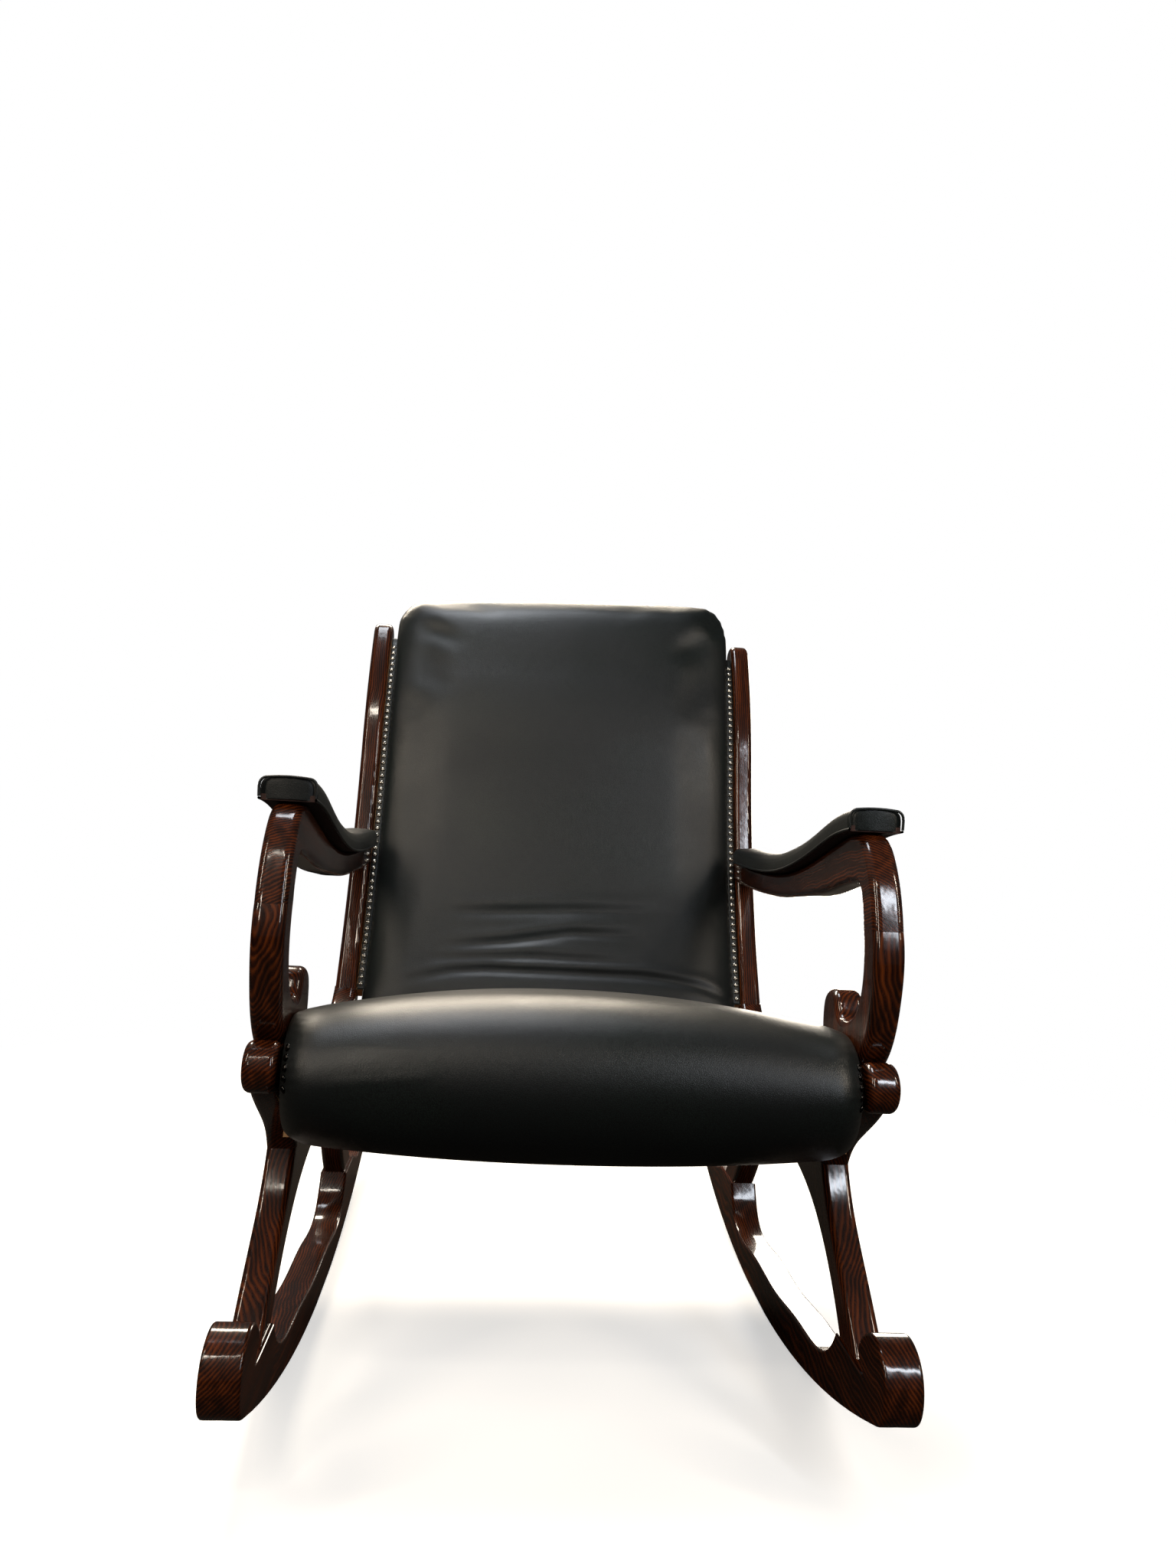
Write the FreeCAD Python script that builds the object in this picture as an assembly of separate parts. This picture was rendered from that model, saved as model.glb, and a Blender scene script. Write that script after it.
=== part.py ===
# Upholstered rocking chair: sawn and carved oak side frames, leather seat, back and arm pads.
# Millimetres. The chair faces -Y, +Z is up, and X runs from side to side.
# Places in Y are first measured back from the front of the seat-rail knobs. At the end every piece is
# moved so that the origin lies on the floor, halfway along the rockers and halfway across the chair.
import FreeCAD, Part
import math
import os

# Widths across the chair
side_plane = 292.5          # middle of the chair to the middle plane of each side frame
rail_thick = 31.0
stile_thick = 29.0
arm_thick = 31.0
leg_thick = 30.0
rocker_thick = 36.0
pad_wide = 58.0

# Clearances
soft_gap = 0.5              # round leather and stuffing
glue_gap = 0.1              # at glued and screwed flat joints
peg_gap = 0.15              # round dowels, screws and nail shanks

# Rockers
rocker_radius = 1200.0
rocker_depth = 43.0
balance_y = 385.0           # middle of the place that stands on the floor, below the centre of mass
rest_flat = 100.0           # length worn flat there, so that the empty chair stands still
nose_y = -78.0
nose_radius = 37.0
nose_top = 155.0
tail_y = 845.0
tail_depth = 31.0

# Feet and legs
front_foot_z = 108.0        # flat joint between rocker and front leg
front_foot_y = 11.0
front_foot_long = 53.0
rear_foot_z = 88.0
rear_foot_y = 553.0
rear_foot_long = 62.0
rail_base_z = 250.0         # flat joint between the legs and the seat side rails
waist_y = 140.0             # front end of that joint
heel_y = 522.0              # rear end of that joint
arch_top_z = 227.0
arch_mid_y = 352.0
seam_gap = 0.2              # between the two legs where they meet over the arch

# Seat side rails and knobs
knob_y = 24.0
knob_z = 362.0
knob_radius = 24.0
arm_seat_z = 379.0          # flat joint between the rail and the arm support
arm_seat_rear = 170.0
rail_dip_z = 312.0          # lowest place of the rail's top edge
stile_seat_z = 345.0        # flat joint between the rail and the back stile
stile_seat_y = 559.0

# Back stiles: an S of two arcs, given on the front edge
stile_mid = (642.0, 520.0)
stile_turn = (693.0, 700.0)
stile_top = (761.0, 887.0)
stile_depth = 48.0

# Arms
arm_joint_z = 514.0         # glue line between the arm support and the upper arm
arm_front_y = 5.0           # foremost point of the arm
arm_depth = 39.0
arm_crown_z = 607.0
arm_low_z = 513.0
arm_dip_z = 544.0
curl_top_z = 438.0
curl_y = 142.0
board_thick = 6.0
board_inset = 3.0           # the board stops short of the pad all round
pad_front_y = 64.0
pad_thick = 19.0
pad_tail_room = 26.0        # from the rear end of the pad to the back stile

# Seat frame and seat
hidden_board = 24.0         # thickness of the hidden beech rails
hidden_base_z = 286.0
front_rail_y = 62.0
front_rail_top = 348.0
rear_rail_y = 540.0
rear_rail_base = 276.0
rear_rail_top = 318.0
cleat_top = 306.0
block_size = 62.0
seat_rear_y = 520.0
seat_rear_z = 343.0
seat_crown = 9.0
roll_y = 62.0
roll_z = 352.0
roll_radius = 82.0
seat_corner = 34.0
roll_shrink = 0.72          # how fast the roll thins, moves back and sinks round its corners
roll_back = 0.5
roll_sink = 0.1
leather_turn_y = 92.0       # where the leather ends under the front rail
spring_wire = 3.6
spring_count = 5
spring_wide = 52.0
spring_bend = 14.0
spring_spread = 98.0
cloth_thick = 1.0
leather_thick = 2.0

# Back frame and back
member_wide = 28.0
member_depth = 27.0
member_set_back = 4.2       # behind the front edge of the stiles
member_share = 0.93         # how far up the upper arc the side members reach
nail_strip = 8.5            # flat edge of the leather between the padding and the seat sides' line
back_bulge = 21.0
back_corner = 36.0
back_base_z = 324.0
crest_y = stile_top[0] + 24.0
crest_z = stile_top[1] + 31.0
crest_radius = 46.0
crest_rail_tall = 46.0
lumbar_tall = 52.0
web_wide = 48.0
web_count = 6
web_thick = 1.6
web_first = 0.14            # how far up the lower arc the first strap lies
web_top = 0.3               # how far up the upper arc the last strap lies
lumbar_share = 0.02         # how far up the lower arc the lower cross rail begins

# Nails, dowels and screws
nail_radius = 3.8
nail_rise = 2.2
nail_shank = 0.9
nail_long = 11.0
nail_tip = 2.0
nail_pitch = 10.4
nail_edge = 4.5             # from the leather's outer edge in to the nail rows
roll_nail_count = 5
roll_nail_first = 148.0     # degrees round the seat roll, and from one nail to the next
roll_nail_step = 9.0
roll_nail_inset = 8.0       # in from the end of the seat
dowel_radius = 5.0
dowel_long = 40.0
foot_dowel_long = 26.0
screw_radius = 2.2
screw_head = 4.4
screw_long = 42.0

# Rounded edges
leg_ease = 6.0
rail_ease = 7.0
stile_ease = 8.0
arm_ease = 8.0
pad_ease = 7.0

# Places worked out from the sizes above
rail_in = side_plane - rail_thick / 2.0
soft_half = rail_in - soft_gap
back_half = soft_half - nail_strip
nail_line = soft_half - nail_edge
rest_drop = rocker_radius - math.sqrt(rocker_radius ** 2 - (rest_flat / 2.0) ** 2)
middle_y = (nose_y + tail_y) / 2.0
stile_low = (stile_seat_y, stile_seat_z)
upper_radius = rocker_radius - rocker_depth
front_foot_end = front_foot_y + front_foot_long
rear_foot_end = rear_foot_y + rear_foot_long

V = FreeCAD.Vector
pieces = {}


def keep(name, shape):
    """Store one named piece, moved to the chair's own origin."""
    moved = shape.copy()
    moved.translate(V(0, -middle_y, 0))
    pieces[name] = moved


def mirrored(shape):
    return shape.mirror(V(0, 0, 0), V(1, 0, 0))


def both(name, left):
    """Store a left-hand piece and its mirror image."""
    keep(name + "_left", left)
    keep(name + "_right", mirrored(left))


def group(shapes):
    """Like pieces that share one name, as separate solids."""
    return Part.makeCompound([solid for shape in shapes for solid in shape.Solids])


def line(start, end):
    return ("line", [start, end], None, None)


def curve(*points, leave=None, arrive=None):
    """A smooth free curve through the given points, with its end directions where they matter."""
    return ("curve", list(points), leave, arrive)


def arc(start, middle, end):
    return ("arc", [start, middle, end], None, None)


def closed(corners):
    """Straight stretches from corner to corner and back to the first."""
    return [line(a, b) for a, b in zip(corners, corners[1:] + corners[:1])]


def wire_at(x, stretches):
    """Closed outline in the side view, from stretches that follow each other."""
    edges = []
    for kind, points, leave, arrive in stretches:
        places = [V(x, y, z) for y, z in points]
        if kind == "line":
            edges.append(Part.makeLine(places[0], places[1]))
        elif kind == "arc":
            edges.append(Part.Arc(places[0], places[1], places[2]).toShape())
        else:
            ends = {}
            if leave:
                ends["InitialTangent"] = V(0, *leave)
            if arrive:
                ends["FinalTangent"] = V(0, *arrive)
            spline = Part.BSplineCurve()
            spline.interpolate(Points=places, **ends)
            edges.append(spline.toShape())
    return Part.Wire(edges)


def slab(stretches, x_low, x_high):
    """A board with the given side-view outline between two places in X."""
    return Part.Face(wire_at(x_low, stretches)).extrude(V(x_high - x_low, 0, 0))


def side_board(stretches, thick):
    """A left-hand board of the side frame, centred on the side plane."""
    return slab(stretches, -side_plane - thick / 2.0, -side_plane + thick / 2.0)


def ease(solid, radius, all_round=False):
    """Round the long edges of a board. Straight edges are joints and stay crisp, unless all are asked."""
    whole = solid.BoundBox
    chosen = []
    for edge in solid.Edges:
        box = edge.BoundBox
        on_side = min(abs(box.XMin - whole.XMin), abs(box.XMax - whole.XMax)) < 1e-4
        curved = edge.Curve.TypeId != "Part::GeomLine"
        if on_side and box.XLength < 1e-4 and (curved or all_round):
            chosen.append(edge)
    return solid.makeFillet(radius, chosen)


def ring_point(centre, radius, degrees):
    angle = math.radians(degrees)
    return (centre[0] + radius * math.cos(angle), centre[1] + radius * math.sin(angle))


def angle_of(centre, point):
    return math.degrees(math.atan2(point[1] - centre[1], point[0] - centre[0])) % 360.0


def raised(points, rise):
    """The same side-view points, moved up."""
    return [(y, z + rise) for y, z in points]


def circle_through(a, b, c):
    """Centre and radius of the circle through three points of the side view."""
    d = 2.0 * (a[0] * (b[1] - c[1]) + b[0] * (c[1] - a[1]) + c[0] * (a[1] - b[1]))
    sa, sb, sc = (p[0] ** 2 + p[1] ** 2 for p in (a, b, c))
    y = (sa * (b[1] - c[1]) + sb * (c[1] - a[1]) + sc * (a[1] - b[1])) / d
    z = (sa * (c[0] - b[0]) + sb * (a[0] - c[0]) + sc * (b[0] - a[0])) / d
    return (y, z), math.hypot(a[0] - y, a[1] - z)


def tangent_circle(centre, at, through):
    """Circle that runs on smoothly from the circle about centre at one point and meets another."""
    ny, nz = at[0] - centre[0], at[1] - centre[1]
    size = math.hypot(ny, nz)
    ny, nz = ny / size, nz / size
    gy, gz = through[0] - at[0], through[1] - at[1]
    reach = (gy * gy + gz * gz) / (2.0 * (gy * ny + gz * nz))
    return (at[0] + reach * ny, at[1] + reach * nz), abs(reach)


low_centre, low_radius = circle_through(stile_low, stile_mid, stile_turn)
top_centre, top_radius = tangent_circle(low_centre, stile_turn, stile_top)
low_start = angle_of(low_centre, stile_low)
low_turn = angle_of(low_centre, stile_turn) - low_start
top_start = angle_of(top_centre, stile_turn)
top_turn = angle_of(top_centre, stile_top) - top_start
low_sign = 1.0 if low_centre[0] < stile_mid[0] else -1.0
top_sign = 1.0 if top_centre[0] < stile_turn[0] else -1.0


def low_point(share, back):
    """Point on the lower arc of the back, a distance behind the front edge of the stile."""
    return ring_point(low_centre, low_radius + low_sign * back, low_start + share * low_turn)


def top_point(share, back):
    """Point on the upper arc of the back, a distance behind the front edge of the stile."""
    return ring_point(top_centre, top_radius + top_sign * back, top_start + share * top_turn)


def back_arcs(back, low=0.0, top=1.0):
    """The S of the back, from its lower to its upper end."""
    lower = arc(low_point(low, back), low_point(0.5 * (low + 1.0), back), low_point(1.0, back))
    upper = arc(top_point(0.0, back), top_point(0.5 * top, back), top_point(top, back))
    return [lower, upper]


def turned_round(stretches):
    """The same arcs, walked from the last to the first."""
    return [arc(*points[::-1]) for kind, points, leave, arrive in stretches[::-1]]


def back_band(front, rear, low=0.0, top=1.0):
    """Closed outline that follows the S of the back between two depths."""
    cap = line(top_point(top, front), top_point(top, rear))
    base = line(low_point(low, rear), low_point(low, front))
    return back_arcs(front, low, top) + [cap] + turned_round(back_arcs(rear, low, top)) + [base]


def rocker_edge(y, radius):
    """Height of the rocker's lower or upper edge at a place in Y."""
    return rocker_radius - rest_drop - math.sqrt(radius ** 2 - (y - balance_y) ** 2)


def rocker_way(y, radius):
    """Direction of the rocker's lower or upper edge at a place in Y, towards the tail."""
    return (1.0, (y - balance_y) / math.sqrt(radius ** 2 - (y - balance_y) ** 2))


def backwards(way):
    return (-way[0], -way[1])


def spaced(start, end, count):
    """Evenly spaced values from start to end."""
    return [start + (end - start) * index / (count - 1) for index in range(count)]


def peg(radius, long, centre, axis):
    """A round peg with its middle at a place and its length along an axis."""
    direction = V(*axis)
    start = V(*centre) - direction * (long / 2.0)
    return Part.makeCylinder(radius, long, start, direction)


def dowels_at(y, z, spread, long=dowel_long):
    """Two upright dowels across a flat joint: one in front of and one behind a place."""
    return [((-side_plane, y + step, z), long) for step in (-spread, spread)]


foot_dowels = dowels_at(front_foot_y + 0.6 * front_foot_long, front_foot_z, 10.5, foot_dowel_long)
foot_dowels += dowels_at(rear_foot_y + 0.4 * rear_foot_long, rear_foot_z, 12.0, foot_dowel_long)
leg_dowels = dowels_at(waist_y + 60.0, rail_base_z, 22.0) + dowels_at(heel_y - 60.0, rail_base_z, 22.0)
arm_dowels = dowels_at(curl_y - 46.0, arm_seat_z, 34.0)
arm_dowels += dowels_at(arm_front_y + arm_depth / 2.0 + 6.0, arm_joint_z, 7.5, foot_dowel_long)
stile_dowels = dowels_at(stile_seat_y + 25.0, stile_seat_z, 10.0, foot_dowel_long)


def without_dowels(solid, dowels):
    """Drill the holes for a group of dowels."""
    holes = [peg(dowel_radius + peg_gap, long + 1.0, centre, (0, 0, 1)) for centre, long in dowels]
    return solid.cut(holes).Solids[0]


def dowel_group(dowels):
    left = [peg(dowel_radius, long, centre, (0, 0, 1)) for centre, long in dowels]
    return group(left + [mirrored(one) for one in left])


def rocker():
    """Sawn rocker with an upturned nose, raised foot pads, a thinner tail and a short flat to rest on."""
    nose = (nose_y + nose_radius, nose_top - nose_radius)
    under = (nose[0] - 2.0, rocker_edge(nose[0] - 2.0, rocker_radius))
    front_end = front_foot_end + 24.0
    rear_start = rear_foot_y - 26.0
    rear_end = rear_foot_end + 44.0
    tail_under = (tail_y - 12.0, rocker_edge(tail_y - 12.0, rocker_radius))
    rest_front = (balance_y - rest_flat / 2.0, 0.0)
    rest_rear = (balance_y + rest_flat / 2.0, 0.0)
    outline = [
        arc(tail_under, (rear_foot_y, rocker_edge(rear_foot_y, rocker_radius)), rest_rear),
        line(rest_rear, rest_front),
        arc(rest_front, (front_end, rocker_edge(front_end, rocker_radius)), under),
        curve(
            under,
            (nose_y + 8.0, nose[1] - 26.0),
            (nose_y, nose[1]),
            ring_point(nose, nose_radius, 135),
            ring_point(nose, nose_radius, 90),
            ring_point(nose, nose_radius, 45),
            (front_foot_y - 18.0, front_foot_z + 12.0),
            (front_foot_y, front_foot_z),
            leave=backwards(rocker_way(under[0], rocker_radius)),
            arrive=(1.0, 0.0),
        ),
        line((front_foot_y, front_foot_z), (front_foot_end, front_foot_z)),
        curve(
            (front_foot_end, front_foot_z),
            (front_foot_end + 9.0, rocker_edge(front_foot_end, upper_radius) + 8.0),
            *[(y, rocker_edge(y, upper_radius)) for y in spaced(front_end, rear_start, 5)],
            (rear_foot_y - 9.0, rear_foot_z - 17.0),
            (rear_foot_y, rear_foot_z),
        ),
        line((rear_foot_y, rear_foot_z), (rear_foot_end, rear_foot_z)),
        curve(
            (rear_foot_end, rear_foot_z),
            (rear_end, rocker_edge(rear_end, upper_radius) + 2.0),
            (tail_y - 90.0, rocker_edge(tail_y - 90.0, rocker_radius) + tail_depth + 4.0),
            (tail_y - 14.0, tail_under[1] + tail_depth - 4.0),
            (tail_y, tail_under[1] + 0.5 * tail_depth),
            tail_under,
            leave=(1.0, 0.0),
            arrive=backwards(rocker_way(tail_under[0], rocker_radius)),
        ),
    ]
    solid = ease(side_board(outline, rocker_thick), (rocker_thick - leg_thick) / 2.0 - glue_gap, True)
    return without_dowels(solid, foot_dowels)


def front_leg():
    """Sabre-cut front leg whose rear edge runs up into half of the arch under the seat."""
    foot_front = (front_foot_y, front_foot_z)
    foot_rear = (front_foot_end, front_foot_z)
    waist = (waist_y, rail_base_z)
    arch_end = arch_mid_y - seam_gap / 2.0
    outline = [
        line(foot_rear, foot_front),
        curve(foot_front, (37.0, 135.0), (72.0, 168.0), (112.0, 207.0), waist),
        line(waist, (arch_end, rail_base_z)),
        line((arch_end, rail_base_z), (arch_end, arch_top_z)),
        curve((arch_end, arch_top_z), (236.0, 217.0), (170.0, 196.0), (108.0, 155.0), foot_rear),
    ]
    solid = ease(side_board(outline, leg_thick), leg_ease)
    return without_dowels(solid, foot_dowels + leg_dowels)


def rear_leg():
    """Rear leg that carries the other half of the arch and sweeps back to the rocker."""
    foot_front = (rear_foot_y, rear_foot_z)
    foot_rear = (rear_foot_end, rear_foot_z)
    heel = (heel_y, rail_base_z)
    arch_end = arch_mid_y + seam_gap / 2.0
    outline = [
        line(foot_rear, foot_front),
        curve(foot_front, (522.0, 123.0), (478.0, 172.0), (425.0, 208.0), (arch_end, arch_top_z)),
        line((arch_end, arch_top_z), (arch_end, rail_base_z)),
        line((arch_end, rail_base_z), heel),
        curve(heel, (534.0, 205.0), (556.0, 158.0), (586.0, 117.0), foot_rear),
    ]
    solid = ease(side_board(outline, leg_thick), leg_ease)
    return without_dowels(solid, foot_dowels + leg_dowels)


def side_rail():
    """Seat side rail: knob bracket in front, dipped top edge, and a rise to the back stile."""
    knob = (knob_y, knob_z)
    ledge = knob_y + math.sqrt(knob_radius ** 2 - (arm_seat_z - knob_z) ** 2)
    ledge_angle = angle_of(knob, (ledge, arm_seat_z))
    knob_under = ring_point(knob, knob_radius, 292)
    base = rail_base_z + glue_gap
    stile_rear = (low_point(0.0, stile_depth)[0], stile_seat_z)
    outline = [
        line((waist_y, base), (heel_y, base)),
        curve((heel_y, base), (heel_y + 28.0, base + 19.0), (stile_rear[0] - 22.0, stile_seat_z - 42.0),
              stile_rear),
        line(stile_rear, stile_low),
        curve(stile_low, (stile_seat_y - 44.0, rail_dip_z + 8.0), (stile_seat_y - 114.0, rail_dip_z),
              (arm_seat_rear + 130.0, rail_dip_z + 12.0), (arm_seat_rear + 34.0, arm_seat_z - 26.0),
              (arm_seat_rear, arm_seat_z)),
        line((arm_seat_rear, arm_seat_z), (ledge, arm_seat_z)),
        arc((ledge, arm_seat_z), ring_point(knob, knob_radius, (ledge_angle + 180.0) / 2.0),
            ring_point(knob, knob_radius, 180)),
        arc(ring_point(knob, knob_radius, 180), ring_point(knob, knob_radius, 236), knob_under),
        curve(knob_under, (waist_y - 80.0, base + 67.0), (waist_y - 43.0, base + 42.0),
              (waist_y - 13.0, base + 18.0), (waist_y, base)),
    ]
    solid = ease(side_board(outline, rail_thick), rail_ease)
    return drilled(without_dowels(solid, leg_dowels + arm_dowels + stile_dowels), cleat_screws())


def stile_head(front, rear):
    """Tip of the half-round head of a stile, over its two upper corners."""
    across = (rear[0] - front[0], rear[1] - front[1])
    return (front[0] + (across[0] - across[1]) / 2.0, front[1] + (across[1] + across[0]) / 2.0)


def back_stile():
    """Serpentine back stile with a rounded head, standing on the rear end of the seat side rail."""
    foot = stile_seat_z + glue_gap
    front, rear = top_point(1.0, 0.0), top_point(1.0, stile_depth)
    head = arc(front, stile_head(front, rear), rear)
    base = line(low_point(0.0, stile_depth), low_point(0.0, 0.0))
    outline = back_arcs(0.0) + [head] + turned_round(back_arcs(stile_depth)) + [base]
    solid = ease(side_board(outline, stile_thick), stile_ease)
    foot_box = Part.makeBox(200, 200, 200, V(-side_plane - 100, stile_seat_y - 50, foot - 200))
    return drilled(without_dowels(solid.cut(foot_box), stile_dowels), stile_screws())


def arm_support():
    """C-shaped arm support with a small curl behind it, standing on the rail over the knob."""
    base = arm_seat_z + glue_gap
    foot_front = (knob_y + 19.0, base)
    foot_rear = (arm_seat_rear - 6.0, base)
    inner = arm_front_y + arm_depth
    joint_front = (arm_front_y + 6.0, arm_joint_z)
    joint_rear = (inner + 6.0, arm_joint_z)
    outline = [
        line(foot_rear, foot_front),
        curve(foot_front, (20.0, 412.0), (10.5, 441.0), (arm_front_y, 480.0), joint_front),
        line(joint_front, joint_rear),
        curve(joint_rear, (inner, 478.0), (inner + 10.0, 438.0), (curl_y - 54.0, 415.0),
              (curl_y - 32.0, 415.0), (curl_y - 20.0, curl_top_z - 6.0), (curl_y, curl_top_z),
              (curl_y + 19.0, curl_top_z - 10.0), (curl_y + 25.0, curl_top_z - 32.0), foot_rear),
    ]
    solid = ease(side_board(outline, arm_thick), arm_ease)
    return without_dowels(solid, arm_dowels)


def arm_top_points():
    """Top edge of the arm under its pad, from the crown back to the stile."""
    return [
        (pad_front_y + 16.0, arm_crown_z),
        (130.0, arm_crown_z - 8.5),
        (170.0, arm_crown_z - 19.0),
        (236.0, arm_crown_z - 36.5),
        (290.0, arm_crown_z - 48.0),
        (352.0, arm_crown_z - 57.5),
        (450.0, arm_dip_z),
        (560.0, arm_dip_z + 1.0),
        (stile_mid[0] + 22.0, arm_dip_z + 4.0),
    ]


def upper_arm(stile):
    """Upper arm: crown in front, belly below, let into the front edge of the back stile."""
    base = arm_joint_z + glue_gap
    joint_front = (arm_front_y + 6.0, base)
    joint_rear = (arm_front_y + arm_depth + 6.0, base)
    inner = joint_rear[0]
    rear = arm_top_points()[-1]
    rear_low = (stile_mid[0] + 14.0, arm_low_z + 3.0)
    bend_start = (inner + 7.0, arm_low_z + 26.0)
    bend_end = (inner + 30.0, arm_low_z + 43.0)
    outline = [
        line(joint_rear, joint_front),
        curve(joint_front, (arm_front_y + 20.0, 556.0), (arm_front_y + 37.0, 583.0),
              (arm_front_y + 55.0, 600.0), *arm_top_points()),
        line(rear, rear_low),
        curve(rear_low, (560.0, arm_low_z), (450.0, arm_low_z), (372.0, arm_low_z + 3.0),
              (310.0, arm_low_z + 9.0), (195.0, arm_low_z + 23.0), (130.0, arm_low_z + 36.0), bend_end),
        arc(bend_end, (inner + 15.0, arm_low_z + 38.5), bend_start),
        curve(bend_start, (inner + 2.0, arm_low_z + 12.0), joint_rear),
    ]
    solid = ease(side_board(outline, arm_thick), arm_ease)
    return without_dowels(solid, arm_dowels).cut(stile)


def pad_points(rise):
    """Lower edge of the board or pad over the arm, raised by a distance."""
    points = arm_top_points()[:-1]
    tail_y_place = stile_mid[0] - pad_tail_room
    points = [(pad_front_y, arm_crown_z + 1.5)] + points + [(tail_y_place, arm_dip_z + 2.5)]
    return raised(points, rise)


def pad_outline(low, high, shorten):
    """Closed side-view outline between two heights over the arm."""
    lower = pad_points(low)
    upper = pad_points(high)
    lower[0] = (lower[0][0] + shorten, lower[0][1])
    upper[0] = (upper[0][0] + shorten, upper[0][1])
    lower[-1] = (lower[-1][0] - shorten, lower[-1][1])
    upper[-1] = (upper[-1][0] - shorten, upper[-1][1])
    return [curve(*lower), line(lower[-1], upper[-1]), curve(*upper[::-1]), line(upper[0], lower[0])]


def arm_pad_board(arm):
    """Thin plywood board under the pad, planed to the top of the arm."""
    rough = side_board(pad_outline(0.0, board_thick, board_inset), pad_wide - 2 * board_inset)
    bed = arm.copy()
    bed.translate(V(0, 0, glue_gap))
    return rough.cut(bed)


def arm_pad():
    """Leather pad on its board, flat below and rounded along the top."""
    low = board_thick + soft_gap
    solid = side_board(pad_outline(low, board_thick + pad_thick, 0.0), pad_wide)
    top_edges = [edge for edge in solid.Edges if edge.BoundBox.ZMax > arm_crown_z + low + 2.0
                 and edge.BoundBox.XLength < 1e-3 and edge.Curve.TypeId != "Part::GeomLine"]
    return solid.makeFillet(pad_ease, top_edges)


def spring_slope():
    """Fall of the springs from the front rail to the rear rail, per millimetre."""
    return (rear_rail_top - front_rail_top) / (rear_rail_y - front_rail_y)


def spring_base_z(y):
    """Underside of the springs, which lie across the rear edges of both rails."""
    return front_rail_top + glue_gap + spring_slope() * (y - front_rail_y - hidden_board)


def ceiling_z(y):
    """Underside of the seat stuffing: the spring cloth lies just below it."""
    return spring_base_z(y) + spring_wire + cloth_thick + 3 * glue_gap


def corner_drop(x, half, size):
    """How far a rounded corner falls back at a distance from the middle."""
    over = min(max(abs(x) - (half - size), 0.0), size)
    return size - math.sqrt(size ** 2 - over ** 2)


def stations(half, size):
    """Places across the chair at which a cushion's section is drawn."""
    outer = [half - size + size * math.sin(math.radians(a)) for a in (0, 22, 42, 60, 75, 86)]
    return [-x for x in outer[::-1]] + [0.0] + outer


def roll_ring(drop, inset):
    """Centre and radius of the seat roll where its corner falls back by a distance."""
    centre = (roll_y + roll_back * drop, roll_z - roll_sink * drop)
    return centre, roll_radius - inset - roll_shrink * drop


def seat_section(x, inset):
    """Side-view outline of the seat at a place across the chair, drawn in by a distance."""
    drop = corner_drop(x, soft_half - inset, seat_corner)
    centre, radius = roll_ring(drop, inset)
    crest = ring_point(centre, radius, 78)
    rear = (seat_rear_y - inset, seat_rear_z - inset - 0.3 * drop)
    sag = seat_crown * (1.0 - (x / soft_half) ** 2)
    middle = ((crest[0] + rear[0]) / 2.0, (crest[1] + rear[1]) / 2.0 + sag)
    base = ring_point(centre, radius, 270)
    return wire_at(x, [
        arc(base, ring_point(centre, radius, 215), ring_point(centre, radius, 160)),
        arc(ring_point(centre, radius, 160), ring_point(centre, radius, 119), crest),
        arc(crest, middle, rear),
        line(rear, (rear[0], hidden_base_z)),
        line((rear[0], hidden_base_z), base),
    ])


def cushion(section, half, size, inset):
    """Loft of one cushion section across the chair."""
    wires = [section(x, inset) for x in stations(half - inset, size)]
    return Part.makeLoft(wires, True, True)


def spring_well(front_y, rise):
    """Space under the seat stuffing that holds the springs and their cloth."""
    rear_y = seat_rear_y + 60.0
    low = hidden_base_z - 60.0
    front_top, rear_top = ceiling_z(front_y) + rise, ceiling_z(rear_y) + rise
    corners = [(front_y, low), (front_y, front_top), (rear_y, rear_top), (rear_y, low)]
    return slab(closed(corners), -rail_in, rail_in)


def rail_pocket(room):
    """Space inside the seat roll that the front rail fills."""
    low = hidden_base_z - room
    high = ceiling_z(front_rail_y)
    depth = leather_turn_y - front_rail_y + 2 * room
    return Part.makeBox(2 * rail_in, depth, high - low, V(-rail_in, front_rail_y - room, low))


def seat_leather():
    outer = cushion(seat_section, soft_half, seat_corner, 0.0)
    inner = cushion(seat_section, soft_half, seat_corner, leather_thick)
    skin = outer.cut([inner, spring_well(leather_turn_y, soft_gap), rail_pocket(soft_gap)])
    return skin.cut(nail_holes(roll_nail_places()))


def seat_stuffing():
    inner = cushion(seat_section, soft_half, seat_corner, leather_thick + soft_gap)
    solid = inner.cut([spring_well(leather_turn_y, soft_gap), rail_pocket(soft_gap)])
    return solid.cut(nail_holes(roll_nail_places()))


def low_share_at(z):
    """Share of the lower arc at a height, below 0 under the foot of the stile."""
    angle = math.degrees(math.asin((z - low_centre[1]) / low_radius))
    if low_centre[0] > stile_seat_y:
        angle = 180.0 - angle
    return ((angle - low_start + 180.0) % 360.0 - 180.0) / low_turn


member_rear = member_set_back + member_depth
stuffing_rear = member_set_back - web_thick - 3 * glue_gap


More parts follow.
